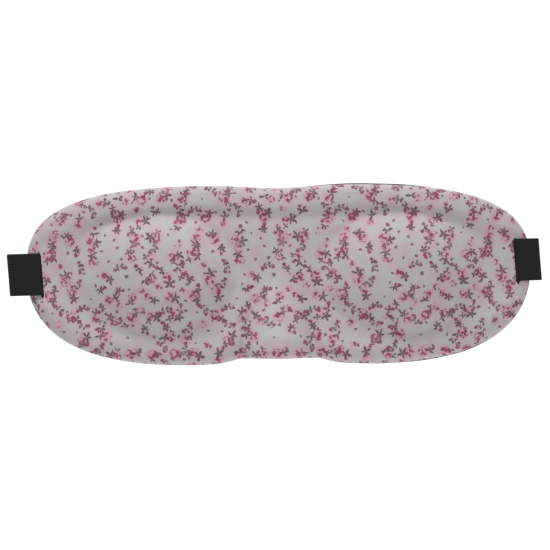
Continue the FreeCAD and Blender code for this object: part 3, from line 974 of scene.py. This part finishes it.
def lattice(f, u, v, pitch_u, pitch_v, columns, jitter, seed):
    """Cells of one repeat of the print. Each row starts at its own random place, and each cell
    holds one motif. Returns the distance from that motif's middle, and four random numbers."""
    row = (v / pitch_v).floor()
    shift, _, _ = f.chance(row, 0.0, seed)
    place = u / pitch_u + shift
    column = place.floor()
    within = column % columns
    first = f.chance(within, row, seed + 1.0)
    second = f.chance(within, row, seed + 2.0)
    from_u = (place - column - 0.5) * pitch_u - (first[0] - 0.5) * jitter
    from_v = v - (row + 0.5) * pitch_v - (first[1] - 0.5) * jitter
    return from_u, from_v, (first[2], *second)


def turned(u, v, angle):
    """A place turned about nought by an angle."""
    cosine, sine = angle.cosine(), angle.sine()
    return u * cosine + v * sine, v * cosine - u * sine


def folded(u, v, count):
    """A place folded round nought, so that one shape becomes several round a centre, and which
    of them it is in."""
    slices = v.math("ARCTAN2", v, u) * (count / (2 * math.pi))
    number = slices.floor()
    within = (slices - number - 0.5) * (2 * math.pi / count)
    radius = (u.squared() + v.squared()).root()
    return radius * within.cosine(), radius * within.sine(), number


def bloom(f, a, b, size, ragged, curl):
    """A small rose: a soft ragged disc of petals, and dark curled folds inside it."""
    far = (a.squared() + b.squared()).root() + ragged
    petals = f.step(far, size * 1.35, size * 0.80)
    folds = f.step(far, size * 0.98, size * 0.60) * f.step(curl, 0.46, 0.54)
    return petals, folds


def leaf_star(f, a, b, key, count, reach):
    """Pointed leaves round a middle, of uneven lengths and some missing: each is as wide as its
    length times a parabola along it."""
    leaf_a, leaf_b, number = folded(a, b, count)
    luck = f.chance(number, key, 5.0)
    long = reach * (0.7 + luck[1] * 0.5)
    along = leaf_a / long
    half_wide = (along - along.squared()) * long * 0.80
    return f.step(abs(leaf_b) - half_wide, 0.16, -0.14) * (luck[0] < 0.84)


def twig(f, a, b):
    """A bent stem with pairs of small leaves."""
    bent = b - a.squared() * 0.09
    inside = f.step(abs(a), 3.1, 2.7)
    stem = f.step(abs(bent), 0.34, 0.08) * 0.7
    pair = a % 2.2 - 1.1
    out = abs(bent)
    leaves = f.step(
        ((pair + (out - 0.9) * 0.5) / 0.58).squared() + ((out - 0.85) / 0.68).squared(), 1.5, 0.5
    )
    return stem.most(leaves) * inside


def print_colour(f, design):
    """Colour of the printed cloth, worked out in millimetres on the flat cloth: a pale ground
    with watery patches, then two sets of sprigs that overlap a little, then dots between them."""
    cloth = f.flat_mm()
    drift = f.noise(cloth, 0.9, 2.0, 0.6, "Color")
    push = f.node("ShaderNodeVectorMath", {"operation": "SUBTRACT"}, {0: drift, 1: (0.5, 0.5, 0.5)})
    moved = {0: push, 1: (1.9, 1.9, 0.0), 2: cloth}
    hand = f.node("ShaderNodeVectorMath", {"operation": "MULTIPLY_ADD"}, moved)
    u, v, _ = f.parts(hand)
    repeat = design.repeat * 1000
    columns = float(design.columns)
    pitch_u, pitch_v = repeat / columns, design.row_pitch * 1000
    ragged = (f.noise(cloth, 1.1, 1.0, 0.5) - 0.5) * 2.0
    curl = f.noise(cloth, 0.52, 1.0, 0.5)

    # watery patches on the ground
    broad = f.noise(cloth, 0.09, 3.0, 0.6)
    fine = f.noise(cloth, 0.30, 2.0, 0.6)
    dye = f.mix(f.step(broad + fine * 0.6, 0.62, 1.02) * 0.55, design.ground, design.blush)
    smear_u, smear_v, smear = lattice(f, u, v, repeat / 9, 6.4, 9.0, 4.0, 40.0)
    lean_a, lean_b = turned(smear_u, smear_v, smear[0] * 3.0)
    far = (lean_a.squared() * 0.3 + lean_b.squared()).root()
    blot = f.step(far, 2.6, 0.5) * f.step(smear[2], 0.2, 0.5)
    dye = f.mix(blot * 0.5, dye, design.blush)

    # large sprigs: a rose, a star of leaves beside it and a smaller one behind it
    from_u, from_v, luck = lattice(f, u, v, pitch_u, pitch_v, columns, 2.6, 10.0)
    a, b = turned(from_u, from_v, luck[1] * (2 * math.pi))
    shown = luck[0] < 0.80
    size = 1.70 + luck[2] * 1.2
    petals, folds = bloom(f, a + 1.4, b, size, ragged, curl)
    leaves = leaf_star(f, a - 1.6, b - 0.6, luck[0] * 57.0, 5, 2.7)
    behind = leaf_star(f, a + 1.3, b + 2.5, luck[0] * 33.0, 4, 1.9) * (luck[3] < 0.45)
    stalk = f.step(abs(b - a * 0.25), 0.34, 0.06) * f.step(abs(a - 0.6), 1.7, 1.2)
    halo = f.step((a.squared() * 0.7 + b.squared()).root() + ragged, 4.6, 2.0)
    green = f.mix(luck[3], design.leaf, design.dot)
    dye = f.mix(halo * shown * 0.28, dye, design.petal)
    dye = f.mix(petals * shown * (0.60 + luck[3] * 0.3), dye, design.petal)
    dye = f.mix(leaves.most(behind).most(stalk * 0.7) * shown * 0.92, dye, green)
    dye = f.mix(folds * shown * 0.94, dye, design.heart)

    # small sprigs, half a cell away: a twig with buds, a star with one bud, or a small rose
    from_u, from_v, luck = lattice(
        f, u + pitch_u / 2, v + pitch_v / 2, pitch_u, pitch_v, columns, 3.4, 24.0
    )
    a, b = turned(from_u, from_v, luck[1] * (2 * math.pi))
    kind = luck[0]
    is_twig, is_star = kind < 0.34, (kind > 0.34) * (kind < 0.60)
    is_rose = kind > 0.74
    petals, folds = bloom(f, a, b, 1.5 + luck[3] * 0.5, ragged, curl)
    leaves = leaf_star(f, a, b, kind * 45.0, 6, 2.3) * is_star
    sprig = twig(f, a, b) * is_twig
    side_bud = f.step((a - 1.7).squared() + (b - 1.7).squared(), 1.3, 0.4) * is_star
    end_bud = f.step((a - 2.7).squared() + (b - 0.9).squared(), 1.2, 0.4) * is_twig
    near_bud = f.step((a + 2.4).squared() + (b - 1.4).squared(), 1.0, 0.3) * is_twig
    bud = side_bud.most(end_bud).most(near_bud)
    halo = f.step((a.squared() * 0.7 + b.squared()).root() + ragged, 3.8, 1.2)
    green = f.mix(luck[2], design.leaf, design.dot)
    dye = f.mix(halo * 0.26, dye, design.petal)
    dye = f.mix(petals * is_rose * 0.7, dye, design.petal)
    dye = f.mix(leaves.most(sprig) * 0.9, dye, green)
    dye = f.mix((folds * is_rose).most(bud) * 0.9, dye, design.heart)

    # dots, some of them round and some short dashes
    dot_u, dot_v, dot_luck = lattice(f, u, v, repeat / 11, 5.6, 11.0, 3.6, 70.0)
    dot_far = dot_u.squared() * (0.6 + dot_luck[3] * 0.9) + dot_v.squared()
    dot_size = 0.22 + dot_luck[1] * 0.34
    dot = f.step(dot_far, dot_size + 0.25, dot_size - 0.15) * (dot_luck[0] < 0.72)
    dye = f.mix(dot * 0.82, dye, f.mix(dot_luck[2] > 0.6, design.dot, design.heart))

    # the dye is a little uneven and rubbed
    worn = f.noise(cloth, 2.2, 3.0, 0.6)
    return f.mix(f.step(worn, 0.35, 0.75) * 0.12, dye, design.ground), cloth


def face_cloth_finish(design):
    """Smooth polyester knit with a small print: fine wales and courses under a short pile."""
    f = Finish("printed_face_cloth")
    dye, cloth = print_colour(f, design)
    u, v, _ = f.parts(cloth)
    wale = wave(u, 0.42)
    course = wave(v, 0.34)
    pile = f.noise(cloth, 1.6, 4.0, 0.7)
    height = wale * course * 0.25 + pile
    f.constants(Sheen_Weight=0.8, Sheen_Roughness=0.25, Specular_IOR_Level=0.2)
    return f.surface(dye, 0.82 + pile * 0.12, height, 0.3, 0.00012)


def elastic_finish(finishes):
    """Knitted elastic: lengthwise ribs crossed by fine rows."""
    f = Finish("elastic_webbing")
    place = f.flat_mm()
    u, v, _ = f.parts(place)
    rib = wave(u, 1.25)
    pick = wave(v, 0.62)
    fuzz = f.noise(place, 3.0, 3.0, 0.65)
    height = rib * 0.4 + pick * (0.35 + rib * 0.2) + fuzz * 0.6
    pale = paler(finishes.elastic, 2.0, 0.003)
    # painted highlight, partly random tone: the colour is paler where the ribs and rows stand up,
    # and it also varies with the fuzz
    tint = f.mix(f.step(height, -0.2, 1.2) * 0.45, tuple(finishes.elastic), pale)
    f.constants(Specular_IOR_Level=0.22)
    return f.surface(tint, 0.66 + fuzz * 0.2, height, 0.6, 0.00018)


def lining_finish(finishes):
    """Soft brushed cloth, its nap lying in streaks."""
    f = Finish("brushed_lining")
    place = f.place()
    streaks = {0: place, 1: (1600.0, 900.0, 700.0)}
    fine = f.node("ShaderNodeVectorMath", {"operation": "MULTIPLY"}, streaks)
    nap = f.noise(fine, 1.0, 4.0, 0.65)
    cloud = f.noise(place, 45.0, 2.0, 0.5)
    pale = paler(finishes.lining, 2.4)
    tint = f.mix(f.step(nap, 0.35, 0.8) * 0.5 + cloud * 0.2, tuple(finishes.lining), pale)
    f.constants(Sheen_Weight=0.35, Sheen_Roughness=0.45, Specular_IOR_Level=0.2)
    return f.surface(tint, 0.86 + nap * 0.1, nap, 0.5, 0.00020)


def foam_finish(finishes):
    """Fine closed-cell foam."""
    f = Finish("moulded_foam")
    place = f.place()
    fine = {"Vector": place, "Scale": 2600.0}
    cells = f.node("ShaderNodeTexVoronoi", {}, fine, output="Distance")
    cloud = f.noise(place, 400.0, 3.0, 0.6)
    pale = paler(finishes.foam, 2.0)
    # painted shade in the pores: the colour is darkest at each cell's pore and paler between them;
    # the cloud is random tone
    tint = f.mix(f.step(cells, 0.1, 0.6) * 0.6 + cloud * 0.3, tuple(finishes.foam), pale)
    f.constants(Specular_IOR_Level=0.2)
    return f.surface(tint, 0.9 + cloud * 0.08, cells, 0.5, 0.0001)


def plastic_finish(finishes):
    """Satin moulded plastic with a fine spark-eroded grain, rubbed smoother in places."""
    f = Finish("slider_plastic")
    place = f.place()
    grain = f.noise(place, 3200.0, 2.0, 0.5)
    rubbed = f.noise(place, 160.0, 3.0, 0.6)
    pale = paler(finishes.plastic, 1.7, 0.004)
    tint = f.mix(f.step(rubbed, 0.4, 0.8) * 0.5, tuple(finishes.plastic), pale)
    f.constants(Specular_IOR_Level=0.5)
    return f.surface(tint, 0.34 + rubbed * 0.2, grain, 0.15, 0.00005)


def thread_finish(finishes):
    """Twisted polyester thread."""
    f = Finish("sewing_thread")
    place = f.flat_mm()
    u, v, _ = f.parts(place)
    twist = wave(u + v * 0.9, 0.34)
    pale = paler(finishes.thread, 3.0)
    # painted highlight: the colour is paler on the crests of the twist
    tint = f.mix(f.step(twist, -0.5, 1.0) * 0.6, tuple(finishes.thread), pale)
    f.constants(Sheen_Weight=0.1, Specular_IOR_Level=0.5)
    return f.surface(tint, 0.5 + twist * 0.06, twist, 0.6, 0.00006)


def paint(piece, material, make, colours):
    """Give a piece its material, which is made the first time that a piece needs it."""
    piece.data.materials.append(bpy.data.materials.get(material) or make(colours))


# ------------------------------------------------------------------ one operator for each piece

ELASTIC_STEP = 0.0008  # between the points along a strap
LOOP_STEP = 0.0005  # and along the short loop at the slider
ELASTIC_SHARP = 60.0  # degrees above which an edge of the elastic stays sharp
SEAM_GAP = 3.2  # from the slider's bar to the seam, in thicknesses of elastic
SEAM_LENGTH = 0.004
LOOP_TAIL = 0.001  # elastic beyond the seam
SLOPE_GAP = 0.0006  # from the slider's bar to where the loop slopes up to the seam
SLOPE_RADIUS = 0.0012
ZIGZAGS = 34  # turns in a row of thread
ZIGZAG_REACH = 0.00042
STITCH_DIP = 0.00028  # how far the thread sinks at a turn


class SLEEPMASK_OT_face_cloth(bpy.types.Operator):
    """Add the printed cloth that covers the front and rolls round the rim to the lining"""

    bl_idname = "sleep_mask.face_cloth"
    bl_label = "Printed Face Cloth"

    def execute(self, context):
        s = context.scene.sleep_mask_shell
        outer, longer = rolled_surface(s, 0.0)
        inner, _ = rolled_surface(s, s.cloth)
        _, _, out_x, out_z = outline(s)
        flat = outer[:, :, [0, 2]] + longer[:, None, None] * np.stack([out_x, out_z], axis=1)
        faces = shell_faces(s, outer[:, :, 0], outer[:, :, 2])
        points, faces = closed_slab(weld_last_row(outer), weld_last_row(inner), faces)
        flat = weld_last_row(flat)
        piece = make_piece("face_cloth", points, faces, np.concatenate([flat, flat]))
        paint(piece, "printed_face_cloth", face_cloth_finish, context.scene.sleep_mask_print)
        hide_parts("face_fabric")
        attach(piece, "mask")
        return {"FINISHED"}


class SLEEPMASK_OT_foam_core(bpy.types.Operator):
    """Add the moulded foam between the face cloth and the lining"""

    bl_idname = "sleep_mask.foam_core"
    bl_label = "Foam Core"

    def execute(self, context):
        s = context.scene.sleep_mask_shell
        clear = 0.00004
        front, _ = rolled_surface(s, s.cloth + clear)
        back = skin_surface(s, s.cloth + clear, s.lining + clear)
        back[:, :, 1] = np.maximum(back[:, :, 1], front[:, :, 1] + clear)
        faces = shell_faces(s, front[:, :, 0], front[:, :, 2])
        points, faces = closed_slab(weld_last_row(front), weld_last_row(back), faces)
        piece = make_piece("foam_core", points, faces)
        paint(piece, "moulded_foam", foam_finish, context.scene.sleep_mask_finishes)
        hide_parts("foam_shell")
        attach(piece, "mask")
        return {"FINISHED"}


class SLEEPMASK_OT_lining_cloth(bpy.types.Operator):
    """Add the dark lining, whose edge stands a little past the rim near the upper and lower right
    and stays just inside it elsewhere
    """

    bl_idname = "sleep_mask.lining_cloth"
    bl_label = "Lining Cloth"

    def execute(self, context):
        s = context.scene.sleep_mask_shell
        x, z, _, _ = outline(s)
        uneven = stray(x, z, 0.00006, 23)
        # The lining's edge is pushed out past the rim only near the upper and lower right, where it
        # shows as a dark line along those edges; elsewhere it stays 0.2 mm inside.
        corner = bell(x - 0.045, 0.035) * (z > 0) + 0.8 * bell(x - 0.075, 0.028) * (z < 0)
        edge = 0.00020 - 0.00070 * corner + uneven
        front = skin_surface(s, edge, s.lining)
        back = skin_surface(s, edge, 0.0)
        faces = shell_faces(s, front[:, :, 0], front[:, :, 2])
        points, faces = closed_slab(weld_last_row(front), weld_last_row(back), faces)
        flat = weld_last_row(back)[:, [0, 2]]
        piece = make_piece("lining_cloth", points, faces, np.concatenate([flat, flat]))
        paint(piece, "brushed_lining", lining_finish, context.scene.sleep_mask_finishes)
        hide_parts("lining_fabric")
        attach(piece, "mask")
        return {"FINISHED"}


def dress_elastic(context, piece):
    """Elastic's finish and material slot."""
    paint(piece, "elastic_webbing", elastic_finish, context.scene.sleep_mask_finishes)


class SLEEPMASK_OT_strap_halves(bpy.types.Operator):
    """Add the two halves of the head strap, which meet behind the head and go round the mask's
    ends"""

    bl_idname = "sleep_mask.strap_halves"
    bl_label = "Strap Halves"

    def execute(self, context):
        strap = context.scene.sleep_mask_strap
        plan = strap_plan(context)
        right = plan.half_strap(strap.right_reach, plan.joint_x + strap.layer_gap, ELASTIC_STEP)
        left = mirrored(
            *plan.half_strap(strap.left_reach, plan.joint_x + strap.tail_gap, ELASTIC_STEP)
        )
        for name, side, path, nodes in (
            ("strap_right_half", 1, right, ("right_strap_loop", "back_strap")),
            ("strap_left_half", -1, left, ("left_strap_loop", "back_strap")),
        ):
            points, faces, flat = ribbon(*path, strap.width, strap.thickness)
            points = plan.tilted(plan.leaned(points))
            piece = make_piece(name, points, faces, flat, sharp=ELASTIC_SHARP)
            dress_elastic(context, piece)
            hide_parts(*nodes)
            side * 0.110
            side * 0.090
            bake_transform(piece)
        return {"FINISHED"}


class SLEEPMASK_OT_strap_return(bpy.types.Operator):
    """Add the inner layer of elastic that runs from the right slit back to the slider"""

    bl_idname = "sleep_mask.strap_return"
    bl_label = "Strap Return"

    def execute(self, context):
        strap, slider = context.scene.sleep_mask_strap, context.scene.sleep_mask_slider
        plan = strap_plan(context)
        ends = slider_loop_ends(plan, slider)
        start = plan.from_slider(ends["loop_end"] + strap.layer_gap, -plan.pitch)
        finish = plan.on_run(plan.joint_x - strap.layer_gap, -plan.pitch)
        points, faces, flat = ribbon(
            *route([(start, 0), (finish, 0)], ELASTIC_STEP), strap.width, strap.thickness
        )
        points = plan.tilted(points)
        piece = make_piece("strap_return_layer", points, faces, flat, sharp=ELASTIC_SHARP)
        dress_elastic(context, piece)
        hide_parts("strap_return")
        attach(piece, "strap")
        axis = plan.tilted((-plan.inwards[0], -plan.inwards[1], 0.0))
        anchor = plan.tilted((*finish, 0.0))
        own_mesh(piece)
        return {"FINISHED"}


def slider_loop_ends(plan, slider):
    """Places along the slider's own axes where the sewn end of the elastic turns and stops."""
    thick = plan.strap.thickness
    gap = plan.strap.layer_gap / 5
    level = -(thick + plan.strap.layer_gap)
    radius = (slider.bar + 2 * gap) / 2 + thick / 2
    seam_start = slider.bar_width / 2 + SEAM_GAP * thick
    seam_end = seam_start + SEAM_LENGTH
    return {
        "level": level,
        "radius": radius,
        "lower": level - 2 * radius,
        "seam_level": level - thick - gap,
        "wrap_end": -slider.bar_width / 2 - radius,
        "seam_start": seam_start,
        "seam_end": seam_end,
        "loop_end": seam_end + LOOP_TAIL,
    }


class SLEEPMASK_OT_slider_loop(bpy.types.Operator):
    """Add the end of the elastic that is turned round the slider's middle bar and sewn to
    itself"""

    bl_idname = "sleep_mask.slider_loop"
    bl_label = "Slider Loop"

    def execute(self, context):
        strap, slider = context.scene.sleep_mask_strap, context.scene.sleep_mask_slider
        plan = strap_plan(context)
        e = slider_loop_ends(plan, slider)
        corners = [
            (plan.from_slider(e["seam_end"], e["seam_level"]), 0),
            (plan.from_slider(e["seam_start"], e["seam_level"]), SLOPE_RADIUS),
            (plan.from_slider(slider.bar_width / 2 + SLOPE_GAP, e["lower"]), SLOPE_RADIUS),
            (plan.from_slider(e["wrap_end"], e["lower"]), e["radius"]),
            (plan.from_slider(e["wrap_end"], e["level"]), e["radius"]),
            (plan.from_slider(e["loop_end"], e["level"]), 0),
        ]
        points, faces, flat = ribbon(*route(corners, LOOP_STEP), strap.width, strap.thickness)
        piece = make_piece("slider_end_loop", plan.tilted(points), faces, flat, sharp=ELASTIC_SHARP)
        dress_elastic(context, piece)
        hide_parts("slider_loop")
        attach(piece, "adjuster")
        return {"FINISHED"}


class SLEEPMASK_OT_slider_frame(bpy.types.Operator):
    """Add the moulded three-bar slider with soft edges"""

    bl_idname = "sleep_mask.slider_frame"
    bl_label = "Slider Frame"

    def execute(self, context):
        piece = softened_slider(context)
        piece.data.materials.clear()
        paint(piece, "slider_plastic", plastic_finish, context.scene.sleep_mask_finishes)
        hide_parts("slider")
        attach(piece, "adjuster")
        return {"FINISHED"}


def softened_slider(context):
    """The slider's CAD shape with its sharp edges melted: a fine voxel skin of it is relaxed,
    so that every edge and inside corner gets a small moulded radius."""
    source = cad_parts["slider"]
    mesh = source.data.copy()
    piece = bpy.data.objects.new("slider_frame", mesh)
    context.scene.collection.objects.link(piece)
    weld = piece.modifiers.new("weld", "WELD")
    weld.merge_threshold = 1e-6
    skin = piece.modifiers.new("skin", "REMESH")
    skin.mode = "VOXEL"
    skin.voxel_size = 0.00026
    relax = piece.modifiers.new("relax", "SMOOTH")
    relax.factor = 0.5
    relax.iterations = 4
    context.view_layer.update()
    done = bpy.data.meshes.new_from_object(piece.evaluated_get(context.evaluated_depsgraph_get()))
    done.name = "slider_frame"
    piece.modifiers.clear()
    piece.data = done
    done.polygons.foreach_set("use_smooth", np.ones(len(done.polygons), bool))
    return piece


def bartack_points(slider, middle, along, outside, high, low):
    """Threads of a bartack on both faces of the elastic. Each row is a zigzag across the
    elastic, and its thread dips in at every turn."""
    half = slider.stitch_length / 2
    t = np.linspace(0, ZIGZAGS, ZIGZAGS * 6 + 1)
    swing = ZIGZAG_REACH * (2 * np.abs((t % 2) - 1) - 1)
    dip = np.abs(np.cos(np.pi * t)) ** 6
    height = -half + 2 * half * t / ZIGZAGS
    shapes = []
    for row in range(slider.stitch_rows):
        offset = (row - (slider.stitch_rows - 1) / 2) * slider.stitch_pitch
        for level, way in ((high, 1.0), (low, -1.0)):
            lift = level + way * (slider.thread_radius * 0.55 - STITCH_DIP * dip)
            flat_xy = middle + np.outer(offset + swing, along) + np.outer(lift, outside)
            places = np.concatenate([flat_xy, height[:, None]], axis=1)
            outwards = np.tile(np.array([*outside, 0.0]) * way, (len(t), 1))
            shapes.append(thread_tube(places, outwards, slider.thread_radius))
    points, faces, flat, count = [], [], [], 0
    for shape_points, shape_faces, shape_flat in shapes:
        points.append(shape_points)
        faces.append(shape_faces + count)
        flat.append(shape_flat)
        count += len(shape_points)
    return np.concatenate(points), np.concatenate(faces), np.concatenate(flat)


class SLEEPMASK_OT_bartacks(bpy.types.Operator):
    """Add the rows of black thread that close the slider's loop and the left end of the strap"""

    bl_idname = "sleep_mask.bartacks"
    bl_label = "Bartacks"

    def execute(self, context):
        scene = context.scene
        strap, slider = scene.sleep_mask_strap, scene.sleep_mask_slider
        plan = strap_plan(context)
        half = strap.thickness / 2
        e = slider_loop_ends(plan, slider)
        seam = plan.from_slider((e["seam_start"] + e["seam_end"]) / 2, 0.0)
        points, faces, flat = bartack_points(
            slider, seam, -plan.inwards, plan.outside, e["level"] + half, e["seam_level"] - half
        )
        piece = make_piece("slider_bartack_thread", plan.tilted(points), faces, flat)
        paint(piece, "sewing_thread", thread_finish, scene.sleep_mask_finishes)
        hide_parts("slider_bartack")
        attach(piece, "adjuster")

        tail_x = plan.joint_x + strap.tail_gap
        middle = plan.on_run(tail_x + 1.6 * slider.stitch_pitch + 0.0005) * np.array([-1.0, 1.0])
        mirror = np.array([-1.0, 1.0])
        points, faces, flat = bartack_points(
            slider, middle, -plan.inwards * mirror, plan.outside * mirror, half, -plan.pitch - half
        )
        piece = make_piece("left_bartack_thread", plan.tilted(points), faces, flat)
        paint(piece, "sewing_thread", thread_finish, scene.sleep_mask_finishes)
        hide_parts("left_bartack")
        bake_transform(piece)
        return {"FINISHED"}


# ------------------------------------------------------------------ stage


class SLEEPMASK_OT_stage(bpy.types.Operator):
    """Add the pale floor, the soft lights, the bright surround and the camera"""

    bl_idname = "sleep_mask.stage"
    bl_label = "Stage"

    def execute(self, context):
        scene, studio = context.scene, context.scene.sleep_mask_studio
        add_floor(studio)
        add_surround(scene, studio)
        target = Vector((0.0, 0.010, -0.004))
        add_softbox("key_light", Vector((-0.36, -0.42, 1.15)), target, 0.40, studio.key_power)
        add_softbox("side_fill", Vector((1.1, -0.55, 0.45)), target, 0.5, studio.key_power * 0.25)
        add_softbox("back_fill", Vector((0.35, 1.1, 0.55)), target, 0.8, studio.key_power * 0.8)
        add_camera(scene, studio)
        return {"FINISHED"}


def add_floor(studio):
    """A round white floor: a flat ring of faces about one middle face. It glows, faintly in the
    middle and fully towards its edge: a painted glow that fades its edge into the white surround.
    """
    rings, sides = 6, 64
    angle = np.linspace(0, 2 * np.pi, sides, endpoint=False)
    radius = np.linspace(0.02, 1.0, rings)[:, None] * studio.floor_radius
    level = np.full((rings, sides), -studio.floor_drop)
    grid = points_of(radius * np.cos(angle), radius * np.sin(angle), level)
    number, faces = ring_faces(rings, sides)
    mesh = bpy.data.meshes.new("floor")
    mesh.from_pydata(grid.reshape(-1, 3).tolist(), [], [*faces.tolist(), number[0].tolist()])
    floor = bpy.data.objects.new("floor", mesh)
    bpy.context.scene.collection.objects.link(floor)
    f = Finish("floor_paper")
    place = f.place()
    tooth = f.noise(place, 300.0, 3.0, 0.6)
    x, y, _ = f.parts(place)
    away = (x.squared() + y.squared()).root() / studio.floor_radius
    # painted glow: the emission grows from faint in the middle to full white at the edge
    glow = f.step(away, 0.70, 1.0)
    f.constants(Emission_Strength=1.0, Specular_IOR_Level=0.2)
    shine = f.mix(glow, (0.06, 0.06, 0.06), (1.0, 1.0, 1.0))
    plug(f.tree, f.shader.inputs["Emission Color"], shine)
    mesh.materials.append(f.surface((0.86, 0.86, 0.86), 0.9 + tooth * 0.05, tooth, 0.1, 0.0002))


def add_surround(scene, studio):
    """A white surround: it looks pure white, and lights the object more softly than that."""
    world = bpy.data.worlds.new("surround")
    world.use_nodes = True
    tree = world.node_tree
    tree.nodes.clear()
    seen, light = (tree.nodes.new("ShaderNodeBackground") for _ in range(2))
    for node, strength in ((seen, 1.1), (light, studio.sky)):
        node.inputs["Color"].default_value = (1.0, 1.0, 1.0, 1.0)
        node.inputs["Strength"].default_value = strength
    path = tree.nodes.new("ShaderNodeLightPath")
    either = tree.nodes.new("ShaderNodeMixShader")
    output = tree.nodes.new("ShaderNodeOutputWorld")
    tree.links.new(path.outputs["Is Camera Ray"], either.inputs[0])
    tree.links.new(light.outputs[0], either.inputs[1])
    tree.links.new(seen.outputs[0], either.inputs[2])
    tree.links.new(either.outputs[0], output.inputs["Surface"])
    scene.world = world
    scene.view_settings.view_transform = "Standard"
    scene.view_settings.look = "None"


def add_softbox(name, place, target, size, power):
    """A square area light that points at the target."""
    lamp = bpy.data.lights.new(name, "AREA")
    lamp.shape = "SQUARE"
    lamp.size = size
    lamp.energy = power
    light = bpy.data.objects.new(name, lamp)
    light.location = place
    light.rotation_euler = (target - place).to_track_quat("-Z", "Y").to_euler()
    bpy.context.scene.collection.objects.link(light)


def add_camera(scene, studio):
    """A long lens straight in front of the mask, leaning a little."""
    data = bpy.data.cameras.new("camera")
    data.lens = studio.lens
    data.sensor_width = 36.0
    data.clip_start = 0.05
    data.clip_end = 20.0
    camera = bpy.data.objects.new("camera", data)
    low, high = (Vector(corner) for corner in cad_box)
    middle = (low + high) / 2
    place = Vector((middle.x + 0.0003, 0.018 - studio.camera_distance, middle.z - 0.0001))
    lean = Matrix.Rotation(-studio.roll, 4, "Z")
    camera.matrix_world = (
        Matrix.Translation(place) @ Matrix.Rotation(math.pi / 2, 4, "X") @ lean
    )
    scene.collection.objects.link(camera)
    scene.camera = camera


# ------------------------------------------------------------------ panel and running order

GROUPS = (
    ("sleep_mask_shell", ShellSizes, "Shell"),
    ("sleep_mask_strap", StrapSizes, "Strap"),
    ("sleep_mask_slider", SliderSizes, "Slider"),
    ("sleep_mask_print", PrintDesign, "Print"),
    ("sleep_mask_finishes", Finishes, "Finishes"),
    ("sleep_mask_studio", StudioSizes, "Studio"),
)
OPERATORS = (
    SLEEPMASK_OT_stage,
    SLEEPMASK_OT_face_cloth,
    SLEEPMASK_OT_foam_core,
    SLEEPMASK_OT_lining_cloth,
    SLEEPMASK_OT_strap_halves,
    SLEEPMASK_OT_strap_return,
    SLEEPMASK_OT_slider_loop,
    SLEEPMASK_OT_slider_frame,
    SLEEPMASK_OT_bartacks,
)


class SLEEPMASK_PT_panel(bpy.types.Panel):
    """Sizes, colours and pieces of the sleep mask"""

    bl_idname = "SLEEPMASK_PT_panel"
    bl_label = "Sleep Mask"
    bl_space_type = "VIEW_3D"
    bl_region_type = "UI"
    bl_category = "Sleep Mask"

    def draw(self, context):
        for attribute, group, title in GROUPS:
            box = self.layout.box()
            box.label(text=title)
            for name in group.__annotations__:
                box.prop(getattr(context.scene, attribute), name)
        for operator in OPERATORS:
            self.layout.operator(operator.bl_idname)


def register():
    for attribute, group, _ in GROUPS:
        bpy.utils.register_class(group)
        setattr(bpy.types.Scene, attribute, PointerProperty(type=group))
    for operator in OPERATORS:
        bpy.utils.register_class(operator)
    bpy.utils.register_class(SLEEPMASK_PT_panel)


def unregister():
    bpy.utils.unregister_class(SLEEPMASK_PT_panel)
    for operator in reversed(OPERATORS):
        bpy.utils.unregister_class(operator)
    for attribute, group, _ in reversed(GROUPS):
        delattr(bpy.types.Scene, attribute)
        bpy.utils.unregister_class(group)


def main():
    register()
    bpy.ops.sleep_mask.stage()
    bpy.ops.sleep_mask.face_cloth()
    bpy.ops.sleep_mask.foam_core()
    bpy.ops.sleep_mask.lining_cloth()
    bpy.ops.sleep_mask.strap_halves()
    bpy.ops.sleep_mask.strap_return()
    bpy.ops.sleep_mask.slider_loop()
    bpy.ops.sleep_mask.slider_frame()
    bpy.ops.sleep_mask.bartacks()


if __name__ == "__main__":
    main()
